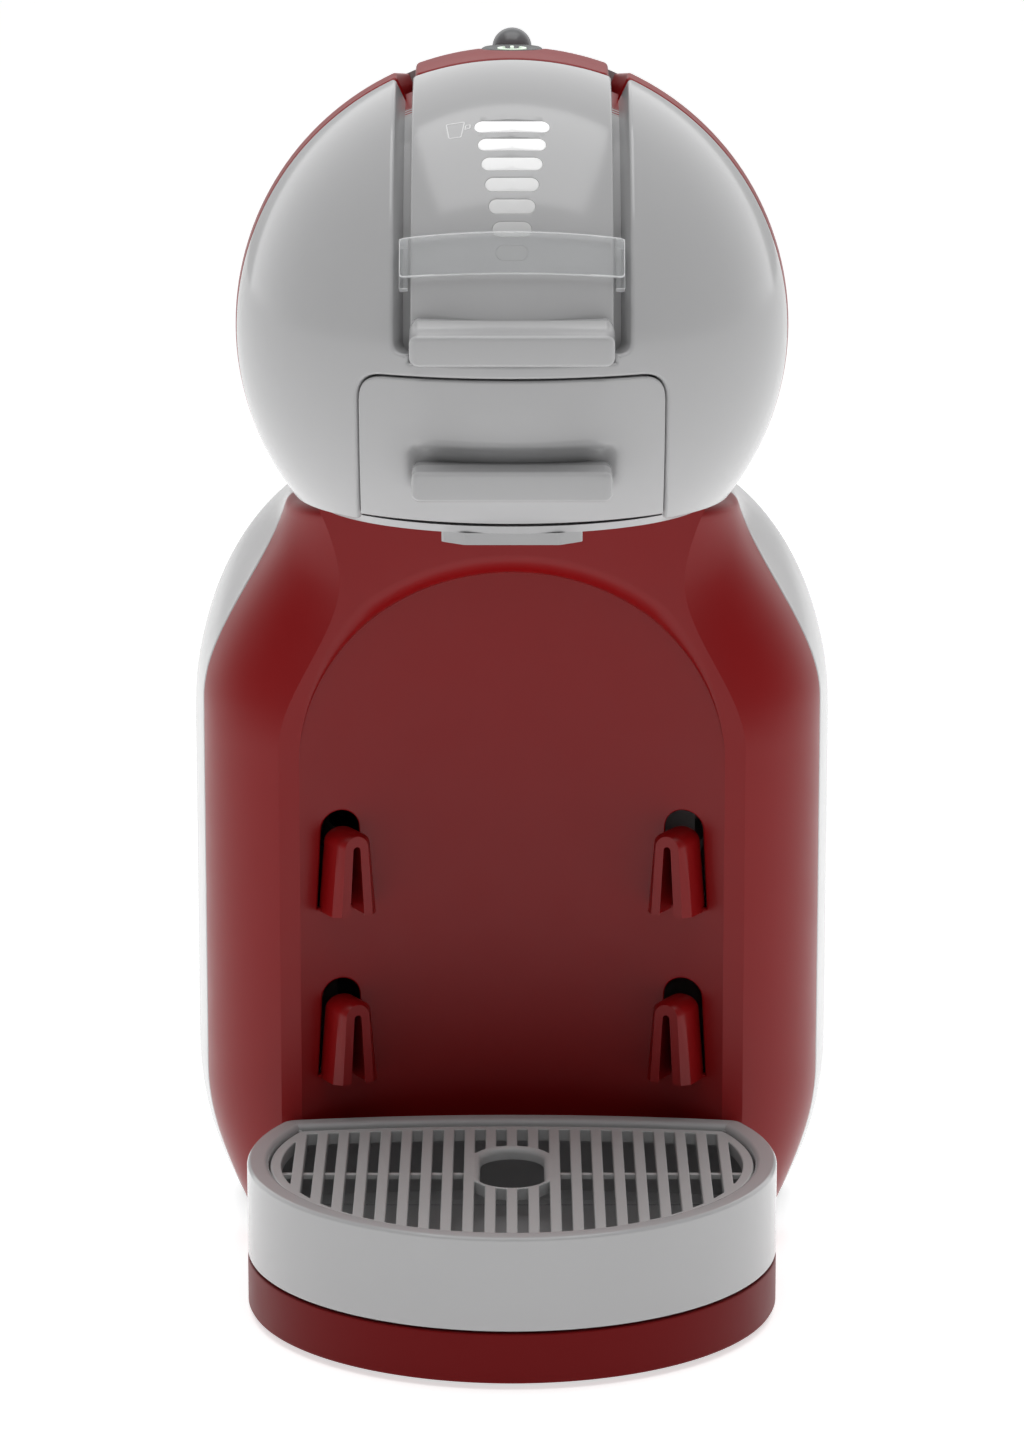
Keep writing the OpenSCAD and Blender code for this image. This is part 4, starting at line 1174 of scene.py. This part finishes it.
def build_pieces():
    stand_in_for("head_bezel", head_bezel())
    stand_in_for("head_hood", head_hood())
    stand_in_for("lever_front", lever_front())
    light_bars()
    stand_in_for("lever_cap", lever_cap())
    stand_in_for("power_button", power_button())
    lit = glow("lit_symbol", (0.85, 0.9, 0.85), (0.75, 1.0, 0.7), 0.5)
    make("power_symbol", power_symbol(), lit, "button")
    stand_in_for("selector_ball", selector_ball())
    slider = stand_in_for("volume_slider", volume_slider())
    # The slider's edge faces get the painted highlight material.
    paint_edge_highlight(slider, CLEAR_EDGE_HIGHLIGHT)
    make("mug_symbol", mug_symbol(), INK, "lever")
    stand_in_for("drawer_front", drawer_front())
    stand_in_for("front_shell", front_shell())
    cover = shell_loft(cover_line, 0.8, 0.8)
    stand_in_for("side_cover_right", cover)
    stand_in_for("side_cover_left", cover.mirrored())
    stand_in_for("drip_tray", drip_tray())
    stand_in_for("drip_grid", drip_grid())
    stand_in_for("base_plinth", base_plinth(), RED_LOW)


def dress_cad_nodes():
    """Materials and softened edges for the CAD nodes that are shown as they are."""
    for name, node in NODES.items():
        if node.hide_render:
            continue
        node.data.materials.clear()
        node.data.materials.append(SLOT_MATERIALS[SLOT_OF[name]])
        bevel = node.modifiers.new("soft_edges", "BEVEL")
        bevel.width = 0.35 * MM
        bevel.segments = 2
        bevel.limit_method = "ANGLE"
        bevel.angle_limit = math.radians(50)
        bevel.harden_normals = True


# ---------------- stage, light and camera

def add_stage():
    mesh = bpy.data.meshes.new("floor")
    size, floor_z = 6.0, 0.0
    mesh.from_pydata([(-size, -size, floor_z), (size, -size, floor_z), (size, size, floor_z),
                      (-size, size, floor_z)], [], [(0, 1, 2, 3)])
    floor = bpy.data.objects.new("floor", mesh)
    bpy.context.scene.collection.objects.link(floor)
    floor_white = plastic("floor_white", (0.80, 0.80, 0.80), 0.7, spread=0.01, grain=200)
    shader = floor_white.node_tree.nodes["Principled BSDF"]
    shader.inputs["Emission Color"].default_value = (1, 1, 1, 1)
    shader.inputs["Emission Strength"].default_value = 0.62
    shader.inputs["Specular IOR Level"].default_value = 0.1
    mesh.materials.append(floor_white)


def add_area(name, place, target, size, radiance):
    """A soft box of a given radiance: an area light's power is pi times its area times that."""
    light = bpy.data.lights.new(name, "AREA")
    light.shape = "RECTANGLE"
    light.size, light.size_y = size
    light.energy = math.pi * size[0] * size[1] * radiance
    lamp = bpy.data.objects.new(name, light)
    bpy.context.scene.collection.objects.link(lamp)
    lamp.location = place
    lamp.rotation_euler = (Vector(target) - Vector(place)).to_track_quat("-Z", "Y").to_euler()
    return lamp


CAMERA_PITCH = math.radians(12.461)
CAMERA_PLACE = (0.0, -1.3327, 0.4274)
CAMERA_LENS = 138.592469
SENSOR_H = 36.0
STUDIO_STRENGTH = 1.7
STUDIO_LEVELS = [(0.0, 0.30), (0.104, 0.30), (0.108, 1.0), (0.20, 0.76), (0.40, 0.31),
                 (0.62, 0.11), (1.0, 0.08)]
TOP_RADIANCE = 2.5


def add_light():
    """A studio that is dim in front, brightens towards the sides and stops short of the backdrop."""
    world = bpy.data.worlds.new("studio")
    bpy.context.scene.world = world
    world.use_nodes = True
    nodes, links = world.node_tree.nodes, world.node_tree.links
    coords = nodes.new("ShaderNodeTexCoord")
    facing = nodes.new("ShaderNodeVectorMath")
    facing.operation = "DOT_PRODUCT"
    facing.inputs[1].default_value = (0, -math.cos(CAMERA_PITCH), math.sin(CAMERA_PITCH))
    ramp = nodes.new("ShaderNodeValToRGB")
    links.new(coords.outputs["Generated"], facing.inputs[0])
    links.new(to_range(nodes, links, facing.outputs["Value"], 0, 1), ramp.inputs["Fac"])
    nodes["Map Range"].inputs["From Min"].default_value = -1
    stops = ramp.color_ramp.elements
    while len(stops) < len(STUDIO_LEVELS):
        stops.new(0.5)
    for stop, (place, level) in zip(stops, STUDIO_LEVELS, strict=True):
        stop.position = place
        stop.color = (level, level, level, 1)
    links.new(ramp.outputs["Color"], nodes["Background"].inputs["Color"])
    nodes["Background"].inputs["Strength"].default_value = STUDIO_STRENGTH
    add_area("top_light", (0, -0.2, 1.5), (0, -0.05, 0.2), (1.4, 1.2), TOP_RADIANCE)


def add_camera():
    """The camera stands in front at a slight downward pitch; its axis meets the machine's middle."""
    data = bpy.data.cameras.new("camera")
    data.sensor_fit = "VERTICAL"
    data.sensor_height = SENSOR_H
    data.lens = CAMERA_LENS
    camera = bpy.data.objects.new("camera", data)
    bpy.context.scene.collection.objects.link(camera)
    camera.location = CAMERA_PLACE
    camera.rotation_euler = (math.pi / 2 - CAMERA_PITCH, 0, 0)
    bpy.context.scene.camera = camera


build_pieces()
dress_cad_nodes()
add_stage()
add_light()
add_camera()
bpy.context.scene.view_settings.view_transform = "Standard"
